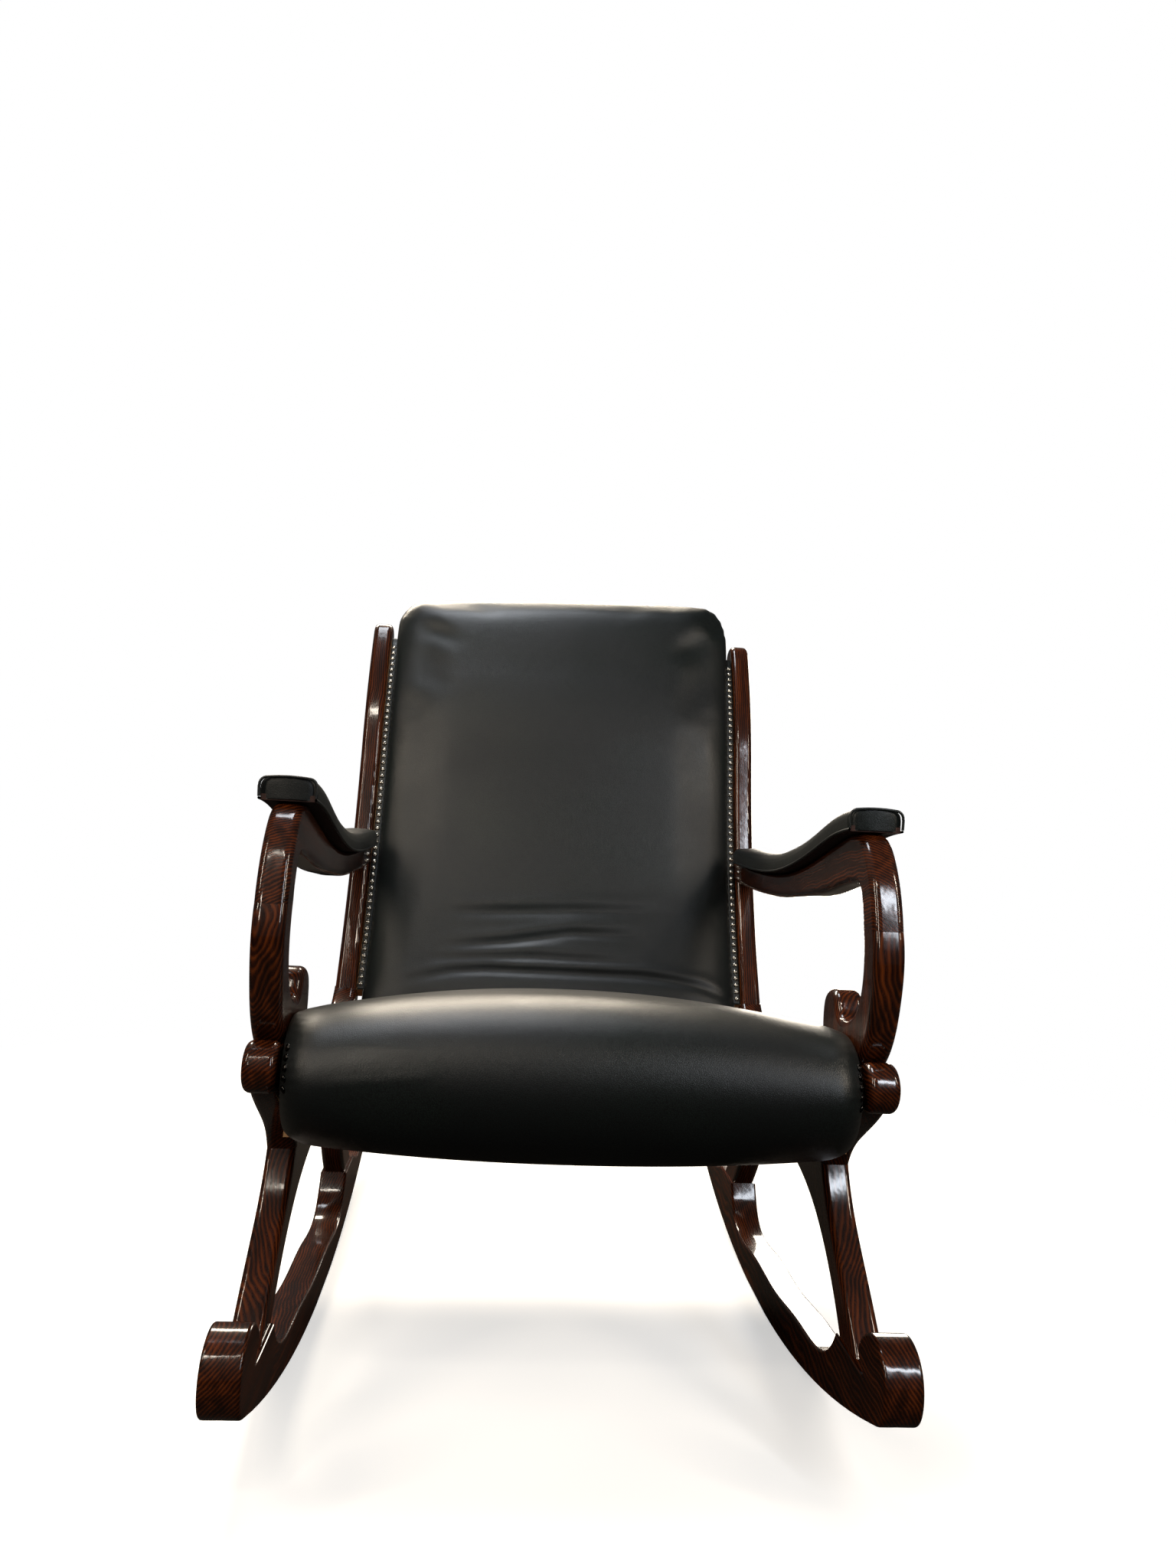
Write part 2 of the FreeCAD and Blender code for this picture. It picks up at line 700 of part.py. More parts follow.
def back_section(x, inset):
    """Side-view outline of the back and its crest roll at a place across the chair."""
    drop = corner_drop(x, back_half - inset, back_corner)
    swell = back_bulge + 3.0 * (1.0 - (x / back_half) ** 2)
    bulge = (swell + member_set_back) * (1.0 - drop / back_corner) - member_set_back - inset
    radius = crest_radius - inset - 0.75 * drop
    centre = (crest_y + 0.1 * drop, crest_z - 0.35 * drop)
    base = low_share_at(back_base_z + inset)
    rear = member_rear + soft_gap - inset
    front = back_arcs(-bulge, base)
    front_top = front[-1][1][-1]
    rear_path = turned_round(back_arcs(rear, base))
    rear_top = rear_path[0][1][0]
    crest_top = ring_point(centre, radius, 90)
    crest_rear = ring_point(centre, radius, -25)
    return wire_at(x, front + [
        arc(front_top, ring_point(centre, radius, 150), crest_top),
        arc(crest_top, ring_point(centre, radius, 30), crest_rear),
        line(crest_rear, rear_top),
    ] + rear_path + [line(rear_path[-1][1][-1], front[0][1][0])])


def along_top(point, reach):
    """A point moved on past the upper end of the side members."""
    low, high = top_point(member_share, 0.0), top_point(1.0, 0.0)
    size = math.hypot(high[0] - low[0], high[1] - low[1])
    return (point[0] + reach * (high[0] - low[0]) / size, point[1] + reach * (high[1] - low[1]) / size)


def crest_block(room, half):
    """The crest rail, or with some room the pocket that it fills."""
    front = top_point(member_share, member_set_back - room)
    rear = top_point(member_share, member_rear + room)
    low_front, low_rear = along_top(front, glue_gap - room), along_top(rear, glue_gap - room)
    high_front = along_top(front, crest_rail_tall + room)
    high_rear = along_top(rear, crest_rail_tall + room)
    return slab(closed([low_front, high_front, high_rear, low_rear]), -half, half)


def frame_well():
    """Space behind the back stuffing that holds the frame and its webbing."""
    base = low_share_at(back_base_z - 40.0)
    return slab(back_band(stuffing_rear, member_rear + 60.0, base, member_share), -rail_in, rail_in)


def flange():
    """Edge of the back leather, laid flat on the side member under the nails."""
    inside = -(back_half - leather_thick)
    low = low_share_at(back_base_z)
    front = member_set_back - leather_thick - glue_gap
    outline = back_band(front, member_set_back - glue_gap, low, member_share)
    return slab(outline, -soft_half, inside)


def back_leather():
    outer = cushion(back_section, back_half, back_corner, 0.0)
    inner = cushion(back_section, back_half, back_corner, leather_thick)
    half = back_half - back_corner / 2.0
    skin = outer.cut([inner, frame_well(), crest_block(soft_gap, half)])
    return skin.fuse([flange(), mirrored(flange())]).cut(nail_holes(nail_places()))


def back_stuffing():
    inner = cushion(back_section, back_half, back_corner, leather_thick + soft_gap)
    half = back_half - back_corner / 2.0
    return inner.cut([frame_well(), crest_block(soft_gap, half)])


def outside_back():
    """Leather panel on the rear of the back frame."""
    front = member_rear + glue_gap
    outline = back_band(front, front + leather_thick, 0.02, member_share - 0.04)
    return slab(outline, -soft_half, soft_half)


def facing(degrees, lean=0.0):
    """Direction at an angle of the side view, leaning outward on the left side of the chair."""
    direction = V(-lean, math.cos(math.radians(degrees)), math.sin(math.radians(degrees)))
    return direction.normalize()


def nail(place, outward):
    """Domed nail whose head faces outward."""
    dome = (nail_radius ** 2 + nail_rise ** 2) / (2.0 * nail_rise)
    slope = math.acos((dome - nail_rise) / dome) / 2.0
    shoulder = V(dome * math.sin(slope), 0, nail_rise - dome + dome * math.cos(slope))
    top = V(0, 0, nail_rise)
    rim = V(nail_radius, 0, 0)
    inner = V(nail_shank, 0, 0)
    tip = V(nail_shank, 0, -nail_long)
    point = V(0, 0, -nail_long - nail_tip)
    edges = [Part.Arc(top, shoulder, rim).toShape()]
    for start, end in ((rim, inner), (inner, tip), (tip, point), (point, top)):
        edges.append(Part.makeLine(start, end))
    solid = Part.Face(Part.Wire(edges)).revolve(V(0, 0, 0), V(0, 0, 1), 360)
    solid.Placement = FreeCAD.Placement(place, FreeCAD.Rotation(V(0, 0, 1), outward))
    return solid


def nail_holes(places):
    """Holes for the shanks of a row of nails, on both sides."""
    holes = []
    for place, outward in places:
        start = place - outward * (nail_long + nail_tip + peg_gap)
        holes.append(Part.makeCylinder(nail_shank + peg_gap, nail_long + 2 * nail_tip, start, outward))
    return Part.makeCompound(holes + [mirrored(hole) for hole in holes])


def nail_places():
    """Places and directions of the nails up the left side of the back."""
    surface = member_set_back - leather_thick - 2 * glue_gap
    low_long = abs(math.radians(low_turn)) * low_radius
    top_long = abs(math.radians(top_turn)) * top_radius * member_share
    count = int((low_long + top_long - nail_pitch) / nail_pitch)
    places = []
    for index in range(count):
        reach = nail_pitch * (index + 0.8)
        if reach < low_long:
            at = low_point(reach / low_long, surface)
            degrees = angle_of(low_centre, at) + (180.0 if low_sign > 0 else 0.0)
        else:
            at = top_point(member_share * (reach - low_long) / top_long, surface)
            degrees = angle_of(top_centre, at) + (180.0 if top_sign > 0 else 0.0)
        places.append((V(-nail_line, at[0], at[1]), facing(degrees)))
    return places


def roll_nail_places():
    """Places and directions of the short row of nails round the left end of the seat roll."""
    x = -(soft_half - roll_nail_inset)
    drop = corner_drop(x, soft_half, seat_corner)
    over = seat_corner - roll_nail_inset
    steep = over / math.sqrt(seat_corner ** 2 - over ** 2)
    centre, radius = roll_ring(drop, 0.0)
    places = []
    for index in range(roll_nail_count):
        degrees = roll_nail_first + roll_nail_step * index
        y, z = ring_point(centre, radius + glue_gap, degrees)
        way = facing(degrees)
        lean = steep * (roll_shrink - roll_back * way.y + roll_sink * way.z)
        places.append((V(x, y, z), facing(degrees, lean)))
    return places


def screw(place, axis):
    """Countersunk screw with its head at a place, driven along an axis."""
    start = V(*place)
    direction = V(*axis)
    head = Part.makeCone(screw_head, screw_radius, screw_head - screw_radius, start, direction)
    return head.fuse(Part.makeCylinder(screw_radius, screw_long, start, direction)).removeSplitter()


def screw_hole(place, axis):
    direction = V(*axis)
    start = V(*place) - direction
    wide = screw_head + peg_gap
    narrow = screw_radius + peg_gap
    mouth = Part.makeCylinder(wide, 1.0, start, direction)
    head = Part.makeCone(wide, narrow, wide - narrow, V(*place), direction)
    return [mouth, head, Part.makeCylinder(narrow, screw_long + 2.0, start, direction)]


def stile_screws():
    """Places of the screws that hold the back frame between the stiles, on the left."""
    depth = member_set_back + member_depth / 2.0
    x = -(rail_in - glue_gap - member_wide)
    return [((x, *low_point(0.12, depth)), (-1, 0, 0)), ((x, *low_point(0.75, depth)), (-1, 0, 0)),
            ((x, *top_point(0.6, depth)), (-1, 0, 0))]


def cleat_screws():
    """Places of the screws that hold the seat frame between the side rails, on the left."""
    x = -(rail_in - glue_gap - hidden_board)
    z = (hidden_base_z + cleat_top) / 2.0
    return [((x, y, z), (-1, 0, 0)) for y in spaced(front_rail_y + 138.0, rear_rail_y - 80.0, 3)]


def drilled(solid, screws):
    holes = []
    for place, axis in screws:
        holes += screw_hole(place, axis)
    return solid.cut(holes)


def arc_strip(point_at, low, high, front, rear):
    """Closed outline along one arc of the back, between two shares of its length and two depths."""
    half_way = (low + high) / 2.0
    return [
        arc(point_at(low, front), point_at(half_way, front), point_at(high, front)),
        line(point_at(high, front), point_at(high, rear)),
        arc(point_at(high, rear), point_at(half_way, rear), point_at(low, rear)),
        line(point_at(low, rear), point_at(low, front)),
    ]


def back_member():
    """Beech side member of the hidden back frame."""
    outline = back_band(member_set_back, member_rear, 0.0, member_share)
    inside = -(rail_in - glue_gap - member_wide)
    solid = slab(outline, -(rail_in - glue_gap), inside)
    return drilled(solid, stile_screws()).cut(nail_holes(nail_places()))


def crest_rail():
    return crest_block(0.0, back_half - back_corner / 2.0 - soft_gap)


def lumbar_rail():
    """Lower cross rail of the back frame."""
    half = rail_in - member_wide - 2 * glue_gap
    low_long = abs(math.radians(low_turn)) * low_radius
    top_share = lumbar_share + lumbar_tall / low_long
    front, rear = member_set_back + 2.0, member_rear - 2.0
    return slab(arc_strip(low_point, lumbar_share, top_share, front, rear), -half, half)


def back_webbing():
    """Jute straps across the front of the back frame."""
    half = rail_in - 12.0
    front = member_set_back - web_thick - glue_gap
    rear = member_set_back - glue_gap
    low_long = abs(math.radians(low_turn)) * low_radius
    share = web_wide / low_long
    steps = spaced(web_first, 1.0 - share, web_count - 1)
    straps = [arc_strip(low_point, low, low + share, front, rear) for low in steps]
    top_share = web_wide / (abs(math.radians(top_turn)) * top_radius)
    straps.append(arc_strip(top_point, web_top, web_top + top_share, front, rear))
    return group([slab(strap, -half, half) for strap in straps])


def cross_board(y, low, high, half):
    return Part.makeBox(2 * half, hidden_board, high - low, V(-half, y, low))


def cleat():
    """Beech strip screwed inside the seat side rail, between the front and the rear rail."""
    start = front_rail_y + hidden_board + glue_gap
    box = Part.makeBox(hidden_board, rear_rail_y - glue_gap - start, cleat_top - hidden_base_z,
                       V(-(rail_in - glue_gap), start, hidden_base_z))
    return drilled(box, cleat_screws())


def corner_blocks():
    """Four glued blocks in the corners of the seat frame."""
    x = rail_in - 2 * glue_gap - hidden_board
    front = front_rail_y + hidden_board + glue_gap
    rear = rear_rail_y - glue_gap
    blocks = []
    for side in (-1, 1):
        for y, step in ((front, 1), (rear, -1)):
            corners = [V(side * x, y, hidden_base_z), V(side * (x - block_size), y, hidden_base_z),
                       V(side * x, y + step * block_size, hidden_base_z)]
            face = Part.Face(Part.makePolygon(corners + corners[:1]))
            blocks.append(face.extrude(V(0, 0, cleat_top - hidden_base_z)))
    return group(blocks)


def spring_places():
    return [(index - (spring_count - 1) / 2.0) * spring_spread for index in range(spring_count)]


def zigzag_spring(x):
    """Flat wavy wire spring from the front rail to the rear rail."""
    start = front_rail_y + 9.0
    end = rear_rail_y + hidden_board - 9.0
    radius = spring_bend
    reach = spring_wide / 2.0 - radius
    bends = int((end - start) / (2 * radius)) - 1
    lead = ((end - start) - 2 * radius * bends) / 2.0
    edges = []
    y = start
    edges.append(Part.makeLine(V(x, y, 0), V(x, y + lead, 0)))
    y += lead
    here = V(x, y, 0)
    side = 1.0
    for index in range(bends):
        out = V(x + side * reach, y, 0)
        edges.append(Part.makeLine(here, out))
        far = V(x + side * reach, y + 2 * radius, 0)
        edges.append(Part.Arc(out, V(x + side * (reach + radius), y + radius, 0), far).toShape())
        here = far
        y += 2 * radius
        side = -side
    edges.append(Part.makeLine(here, V(x, y, 0)))
    edges.append(Part.makeLine(V(x, y, 0), V(x, y + lead, 0)))
    path = Part.Wire(edges)
    circle = Part.Wire([Part.makeCircle(spring_wire / 2.0, V(x, start, 0), V(0, 1, 0))])
    solid = path.makePipeShell([circle], True, True, 2)
    solid.rotate(V(0, start, 0), V(1, 0, 0), math.degrees(math.atan(spring_slope())))
    solid.translate(V(0, 0, spring_base_z(start) + spring_wire / 2.0 + glue_gap))
    return solid


def spring_cloth():
    """Burlap over the springs, tacked to the front and the rear rail."""
    front_y, rear_y = front_rail_y + 2.0, seat_rear_y - 2.0
    low = [(front_y, ceiling_z(front_y) - cloth_thick), (rear_y, ceiling_z(rear_y) - cloth_thick)]
    high = raised(low, cloth_thick)
    half = soft_half - leather_thick - 2 * soft_gap
    return slab(closed(low + high[::-1]), -half, half)


def underside_cloth():
    """Thin black cloth stapled below the seat frame."""
    front = front_rail_y + hidden_board + 8.0
    half = rail_in - 2.0
    long = rear_rail_y - 1.0 - front
    return Part.makeBox(2 * half, long, cloth_thick, V(-half, front, hidden_base_z - cloth_thick))


stile = back_stile()
both("rocker", rocker())
both("front_leg", front_leg())
both("rear_leg", rear_leg())
both("seat_side_rail", side_rail())
both("back_stile", stile)
both("arm_support", arm_support())
arm = upper_arm(stile)
both("upper_arm", arm)
both("arm_pad_board", arm_pad_board(arm))
both("arm_pad", arm_pad())
keep("front_seat_rail", cross_board(front_rail_y, hidden_base_z, front_rail_top, rail_in - glue_gap))
keep("rear_seat_rail", cross_board(rear_rail_y, rear_rail_base, rear_rail_top, rail_in - glue_gap))
both("seat_cleat", cleat())
keep("seat_corner_blocks", corner_blocks())
keep("seat_springs", group([zigzag_spring(x) for x in spring_places()]))
keep("spring_cloth", spring_cloth())
keep("seat_stuffing", seat_stuffing())
keep("seat_leather", seat_leather())
keep("underside_cloth", underside_cloth())
both("back_frame_member", back_member())
keep("crest_rail", crest_rail())
keep("lumbar_rail", lumbar_rail())
keep("back_webbing", back_webbing())
keep("back_stuffing", back_stuffing())
keep("back_leather", back_leather())
keep("outside_back_leather", outside_back())
both("back_nails", group([nail(*where) for where in nail_places()]))
both("seat_roll_nails", group([nail(*where) for where in roll_nail_places()]))
keep("foot_dowels", dowel_group(foot_dowels))
keep("leg_dowels", dowel_group(leg_dowels))
keep("arm_dowels", dowel_group(arm_dowels))
keep("stile_dowels", dowel_group(stile_dowels))
frame_screws = [screw(place, axis) for place, axis in stile_screws() + cleat_screws()]
keep("frame_screws", group(frame_screws + [mirrored(one) for one in frame_screws]))

os.makedirs("parts", exist_ok=True)
for piece_name, piece_shape in pieces.items():
    piece_shape.exportStep("parts/" + piece_name + ".step")
    print(piece_name, piece_shape.isValid(), len(piece_shape.Solids), round(piece_shape.Volume / 1000.0, 1))
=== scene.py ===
import math
import bmesh
import bpy
import numpy as np
from mathutils import Matrix, Vector
from mathutils.bvhtree import BVHTree


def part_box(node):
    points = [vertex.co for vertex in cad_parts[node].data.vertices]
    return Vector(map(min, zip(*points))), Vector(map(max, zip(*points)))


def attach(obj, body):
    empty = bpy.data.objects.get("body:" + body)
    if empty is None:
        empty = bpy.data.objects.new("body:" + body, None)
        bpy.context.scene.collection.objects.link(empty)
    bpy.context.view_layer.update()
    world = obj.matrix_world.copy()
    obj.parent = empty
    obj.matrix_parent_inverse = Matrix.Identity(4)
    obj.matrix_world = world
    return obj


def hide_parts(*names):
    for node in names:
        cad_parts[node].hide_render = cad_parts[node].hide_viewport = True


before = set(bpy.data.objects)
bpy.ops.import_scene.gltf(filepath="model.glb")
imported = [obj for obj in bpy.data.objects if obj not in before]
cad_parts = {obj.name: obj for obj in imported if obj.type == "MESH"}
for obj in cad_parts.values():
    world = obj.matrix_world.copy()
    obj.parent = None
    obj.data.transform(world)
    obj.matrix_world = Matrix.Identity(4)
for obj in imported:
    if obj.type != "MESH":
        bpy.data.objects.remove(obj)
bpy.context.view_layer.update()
BODY = "root"

# Camera, light and floor
# The chair stands on a plain pale floor under soft studio light and is seen from just in front of the
# seat, at the height of the arms, through a moderately wide lens held slightly off level.
CAMERA_AT = (-0.0844, -1.3916, 0.6163)
CAMERA_YAW = 0.077
CAMERA_PITCH = -0.023
CAMERA_ROLL = 0.054
FOCAL_PIXELS = 1420.0
FRAME_PIXELS = 2048.0
SENSOR_MM = 36.0

camera_data = bpy.data.cameras.new("camera")
camera_data.sensor_width = SENSOR_MM
camera_data.lens = FOCAL_PIXELS / FRAME_PIXELS * SENSOR_MM
camera = bpy.data.objects.new("camera", camera_data)
bpy.context.scene.collection.objects.link(camera)
turn = (Matrix.Rotation(-CAMERA_YAW, 4, "Z") @ Matrix.Rotation(-CAMERA_PITCH, 4, "X")
        @ Matrix.Rotation(-CAMERA_ROLL, 4, "Y") @ Matrix.Rotation(math.radians(90.0), 4, "X"))
camera.matrix_world = Matrix.Translation(CAMERA_AT) @ turn
bpy.context.scene.camera = camera
bpy.context.scene.view_settings.view_transform = "Standard"


def linear(code):
    """Linear colour with full alpha from an sRGB hex code."""
    parts = [int(code[i:i + 2], 16) / 255.0 for i in (1, 3, 5)]
    return [c / 12.92 if c <= 0.04045 else ((c + 0.055) / 1.055) ** 2.4 for c in parts] + [1.0]


def add_node(tree, kind, links=None, **settings):
    """Adds a node: settings are its properties or its sockets, links its linked inputs by name or number."""
    node = tree.nodes.new("ShaderNode" + kind)
    for key, value in settings.items():
        if hasattr(node, key):
            setattr(node, key, value)
        else:
            node.inputs[key.replace("_", " ")].default_value = value
    for socket, source in (links or {}).items():
        tree.links.new(source, node.inputs[socket])
    return node


def ramp(tree, factor, stops):
    """Colour ramp through stops of position and sRGB hex code or grey value."""
    node = add_node(tree, "ValToRGB", {"Fac": factor})
    band = node.color_ramp
    for index, (place, colour) in enumerate(stops):
        stop = band.elements[index] if index < 2 else band.elements.new(place)
        stop.position = place
        stop.color = linear(colour) if isinstance(colour, str) else (colour, colour, colour, 1.0)
    return node


def area_lamp(name, at, towards, size, watts, colour="#ffffff"):
    data = bpy.data.lights.new(name, "AREA")
    data.shape = "RECTANGLE"
    data.size, data.size_y = size
    data.energy = watts
    data.color = linear(colour)[:3]
    lamp = bpy.data.objects.new(name, data)
    bpy.context.scene.collection.objects.link(lamp)
    way = Vector(towards) - Vector(at)
    lamp.matrix_world = Matrix.Translation(at) @ way.to_track_quat("-Z", "Y").to_matrix().to_4x4()


area_lamp("ceiling_light", (-0.3, 0.1, 2.3), (0.0, 0.0, 0.4), (0.9, 0.5), 19.0, "#f3f8ff")
area_lamp("rear_light", (-0.45, 1.45, 2.05), (-0.05, 0.0, 0.5), (1.7, 0.35), 78.0, "#fff1dc")
area_lamp("left_strip", (-1.3, -0.95, 1.35), (-0.1, 0.0, 0.5), (0.05, 0.8), 7.0, "#fff0dc")
area_lamp("right_strip", (1.3, -1.05, 1.35), (0.1, 0.0, 0.5), (0.06, 0.8), 8.0, "#fff0dc")
area_lamp("front_track", (-0.45, -1.7, 2.2), (0.0, -0.2, 0.4), (0.5, 0.05), 5.0, "#fff4e4")
area_lamp("front_left_strip", (-0.85, -1.75, 1.45), (-0.2, -0.3, 0.5), (0.07, 1.1), 9.0, "#fff3e4")
area_lamp("front_right_strip", (0.95, -1.75, 1.4), (0.2, -0.3, 0.5), (0.09, 1.1), 9.0, "#eef5ff")
area_lamp("doorway", (1.05, 2.1, 0.7), (0.3, -0.1, 0.15), (0.6, 1.1), 30.0, "#fff3e2")

AMBIENT = 0.09
GLOSS_SHARE = 0.05
world = bpy.data.worlds.new("white_surroundings")
bpy.context.scene.world = world
world.use_nodes = True
sky = world.node_tree
sky.nodes.clear()


def seen_white(tree):
    """1 for rays from the camera and through glass, and a small share of it for reflections, since the room
    round the chair is dark."""
    rays = add_node(tree, "LightPath")
    direct = add_node(tree, "Math", operation="MAXIMUM",
                      links={0: rays.outputs["Is Camera Ray"], 1: rays.outputs["Is Transmission Ray"]})
    gloss = add_node(tree, "Math", {0: rays.outputs["Is Glossy Ray"]}, operation="MULTIPLY")
    gloss.inputs[1].default_value = GLOSS_SHARE
    seen = add_node(tree, "Math", {0: direct.outputs[0], 1: gloss.outputs[0]}, operation="MAXIMUM")
    return rays, seen


rays, seen = seen_white(sky)
around = add_node(sky, "Math", {0: rays.outputs["Is Diffuse Ray"]}, operation="MULTIPLY")
around.inputs[1].default_value = AMBIENT
strength = add_node(sky, "Math", {0: seen.outputs[0], 1: around.outputs[0]}, operation="MAXIMUM")
paper = add_node(sky, "Background", {"Strength": strength.outputs[0]}, Color=(1, 1, 1, 1))
add_node(sky, "OutputWorld", {"Surface": paper.outputs[0]})

FLOOR_RADIUS = 12.0
FLOOR_DROP = 0.0008
FLOOR_FADE = (0.7, 1.7)
FLOOR_LIFT = 0.52
disc = bmesh.new()
bmesh.ops.create_circle(disc, cap_ends=True, segments=96, radius=FLOOR_RADIUS)
floor_mesh = bpy.data.meshes.new("floor")
disc.to_mesh(floor_mesh)
disc.free()
floor = bpy.data.objects.new("floor", floor_mesh)
bpy.context.scene.collection.objects.link(floor)
floor.location.z = -FLOOR_DROP
pale = bpy.data.materials.new("pale_floor")
pale.use_nodes = True
tree = pale.node_tree
tree.nodes.clear()
place = add_node(tree, "TexCoord")
reach = add_node(tree, "VectorMath", {0: place.outputs["Object"]}, operation="LENGTH")
far = add_node(tree, "MapRange", {"Value": reach.outputs["Value"]}, interpolation_type="SMOOTHSTEP")
far.inputs["From Min"].default_value, far.inputs["From Max"].default_value = FLOOR_FADE
rays, seen = seen_white(tree)
shade = add_node(tree, "MixRGB", {"Fac": rays.outputs["Is Camera Ray"]}, Color1=linear("#2b2927"),
                 Color2=linear("#e9e8e6"))
matt = add_node(tree, "BsdfDiffuse", {"Color": shade.outputs["Color"]})
lift = add_node(tree, "Emission", {"Strength": rays.outputs["Is Camera Ray"]},
                Color=(FLOOR_LIFT, FLOOR_LIFT, FLOOR_LIFT, 1))
near = add_node(tree, "AddShader", {0: matt.outputs[0], 1: lift.outputs[0]})
white = add_node(tree, "Emission", Color=(1, 1, 1, 1))
whiten = add_node(tree, "Math", {0: far.outputs[0], 1: rays.outputs["Is Camera Ray"]}, operation="MULTIPLY")
mixed = add_node(tree, "MixShader", {0: whiten.outputs[0], 1: near.outputs[0], 2: white.outputs[0]})
add_node(tree, "OutputMaterial", {"Surface": mixed.outputs[0]})
floor_mesh.materials.append(pale)

# Rockers
# Each rocker is sawn from one thick plank of a ring-porous hardwood, stained dark red-brown and sprayed
# with a clear gloss lacquer. Its two raised pads carry the legs.
RING_MM = 3.2
PORE_LONG_MM = 7.0
PORE_WIDE_MM = 0.55
WARP_MM = 7.0


def new_material(name):
    """An empty node material with its tree, and the places on the piece in metres."""
    material = bpy.data.materials.new(name)
    material.use_nodes = True
    tree = material.node_tree
    tree.nodes.clear()
    return material, tree, add_node(tree, "TexCoord")


def finished(material, tree, shader):
    """The material with its shader linked to the output."""
    add_node(tree, "OutputMaterial", {"Surface": shader.outputs[0]})
    return material


def stained_oak(name, grain_degrees, ring_turn=24.0):
    """Oak, stained mahogany and lacquered: dark pores in bands, a clear glossy film over them. The grain
    runs in the plane of the board, at an angle from +Y. Rings are drawn a little coarser than real."""
    material, tree, place = new_material(name)
    board = add_node(tree, "Mapping", {"Vector": place.outputs["Object"]}, vector_type="POINT",
                     Rotation=(math.radians(-grain_degrees), 0, 0), Scale=(1000, 1000, 1000))
    sway = add_node(tree, "TexNoise", {"Vector": board.outputs[0]}, Scale=0.011, Detail=2.0)
    centred = add_node(tree, "VectorMath", {0: sway.outputs["Color"]}, operation="SUBTRACT")
    centred.inputs[1].default_value = (0.5, 0.5, 0.5)
    swing = add_node(tree, "VectorMath", {0: centred.outputs[0]}, operation="MULTIPLY")
    swing.inputs[1].default_value = (WARP_MM * 2, 0.0, WARP_MM * 4)
    bent = add_node(tree, "VectorMath", {0: board.outputs[0], 1: swing.outputs[0]}, operation="ADD")
    trunk = add_node(tree, "Mapping", {"Vector": bent.outputs[0]}, vector_type="POINT",
                     Location=(58.0, 0.0, 31.0), Rotation=(0, math.radians(ring_turn), math.radians(2.5)),
                     Scale=(1.0, 0.05, 1.0))
    rings = add_node(tree, "TexWave", {"Vector": trunk.outputs[0]}, wave_type="RINGS",
                     rings_direction="Y", wave_profile="SAW", Scale=0.314 / RING_MM, Distortion=3.2,
                     Detail=3.0, Detail_Scale=0.8)
    fibre = add_node(tree, "Mapping", {"Vector": bent.outputs[0]}, vector_type="POINT",
                     Scale=(1.0 / PORE_WIDE_MM, 1.0 / PORE_LONG_MM, 1.0 / PORE_WIDE_MM))
    dashes = add_node(tree, "TexNoise", {"Vector": fibre.outputs[0]}, Scale=1.0, Detail=2.0, Roughness=0.55)
    early = ramp(tree, rings.outputs["Fac"], [(0.0, 1.0), (0.3, 0.6), (0.5, 0.1)])
    dash = ramp(tree, dashes.outputs["Fac"], [(0.42, 0.0), (0.56, 1.0)])
    pores = add_node(tree, "Math", {0: early.outputs["Color"], 1: dash.outputs["Color"]},
                     operation="MULTIPLY")
    patches = add_node(tree, "TexNoise", {"Vector": fibre.outputs[0]}, Scale=0.05, Detail=3.0)
    body = ramp(tree, patches.outputs["Fac"], [(0.3, "#120501"), (0.5, "#240b03"), (0.75, "#421a07")])
    late = ramp(tree, rings.outputs["Fac"], [(0.0, 0.0), (0.4, 0.05), (0.74, 0.7), (0.93, 0.2)])
    strong = ramp(tree, patches.outputs["Fac"], [(0.38, 0.35), (0.62, 1.0)])
    lines = add_node(tree, "Math", {0: late.outputs["Color"], 1: strong.outputs["Color"]},
                     operation="MULTIPLY")
    grown = add_node(tree, "MixRGB", {"Fac": lines.outputs[0], "Color1": body.outputs["Color"]},
                     Color2=linear("#713510"))
    stain = add_node(tree, "MixRGB", {"Fac": pores.outputs[0], "Color1": grown.outputs["Color"]},
                     Color2=linear("#140604"))
    rays = add_node(tree, "Mapping", {"Vector": bent.outputs[0]}, vector_type="POINT",
                    Rotation=(math.radians(38.0), 0, 0), Scale=(0.5, 0.06, 0.5))
    flame = add_node(tree, "TexNoise", {"Vector": rays.outputs[0]}, Scale=1.0, Detail=1.0)
    shimmer = ramp(tree, flame.outputs["Fac"], [(0.5, 0.0), (0.72, 0.25)])
    lit = add_node(tree, "MixRGB", {"Fac": shimmer.outputs["Color"], "Color1": stain.outputs["Color"]},
                   blend_type="ADD", Color2=linear("#2a1208"))
    smear = add_node(tree, "TexNoise", {"Vector": board.outputs[0]}, Scale=0.03, Detail=4.0)
    matt = add_node(tree, "MapRange", {"Value": smear.outputs["Fac"]}, To_Min=0.32, To_Max=0.5)
    film = add_node(tree, "TexNoise", {"Vector": board.outputs[0]}, Scale=0.12, Detail=1.0)
    ripple = add_node(tree, "Bump", {"Height": film.outputs["Fac"]}, Strength=0.08, Distance=0.0008)
    dents = add_node(tree, "Bump", {"Height": pores.outputs[0], "Normal": ripple.outputs[0]},
                     Strength=0.3, Distance=0.0002, invert=True)
    shader = add_node(tree, "BsdfPrincipled", {"Base Color": lit.outputs["Color"],
                                               "Roughness": matt.outputs[0], "Normal": dents.outputs[0],
                                               "Coat Normal": ripple.outputs[0]},
                      IOR=1.5, Specular_IOR_Level=0.06, Coat_Weight=1.0, Coat_Roughness=0.1, Coat_IOR=1.5)
    return finished(material, tree, shader)


def finish_node(node, material):
    """Gives a piece of the frame its finish."""
    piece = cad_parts[node]
    piece.data.materials.clear()
    piece.data.materials.append(material)


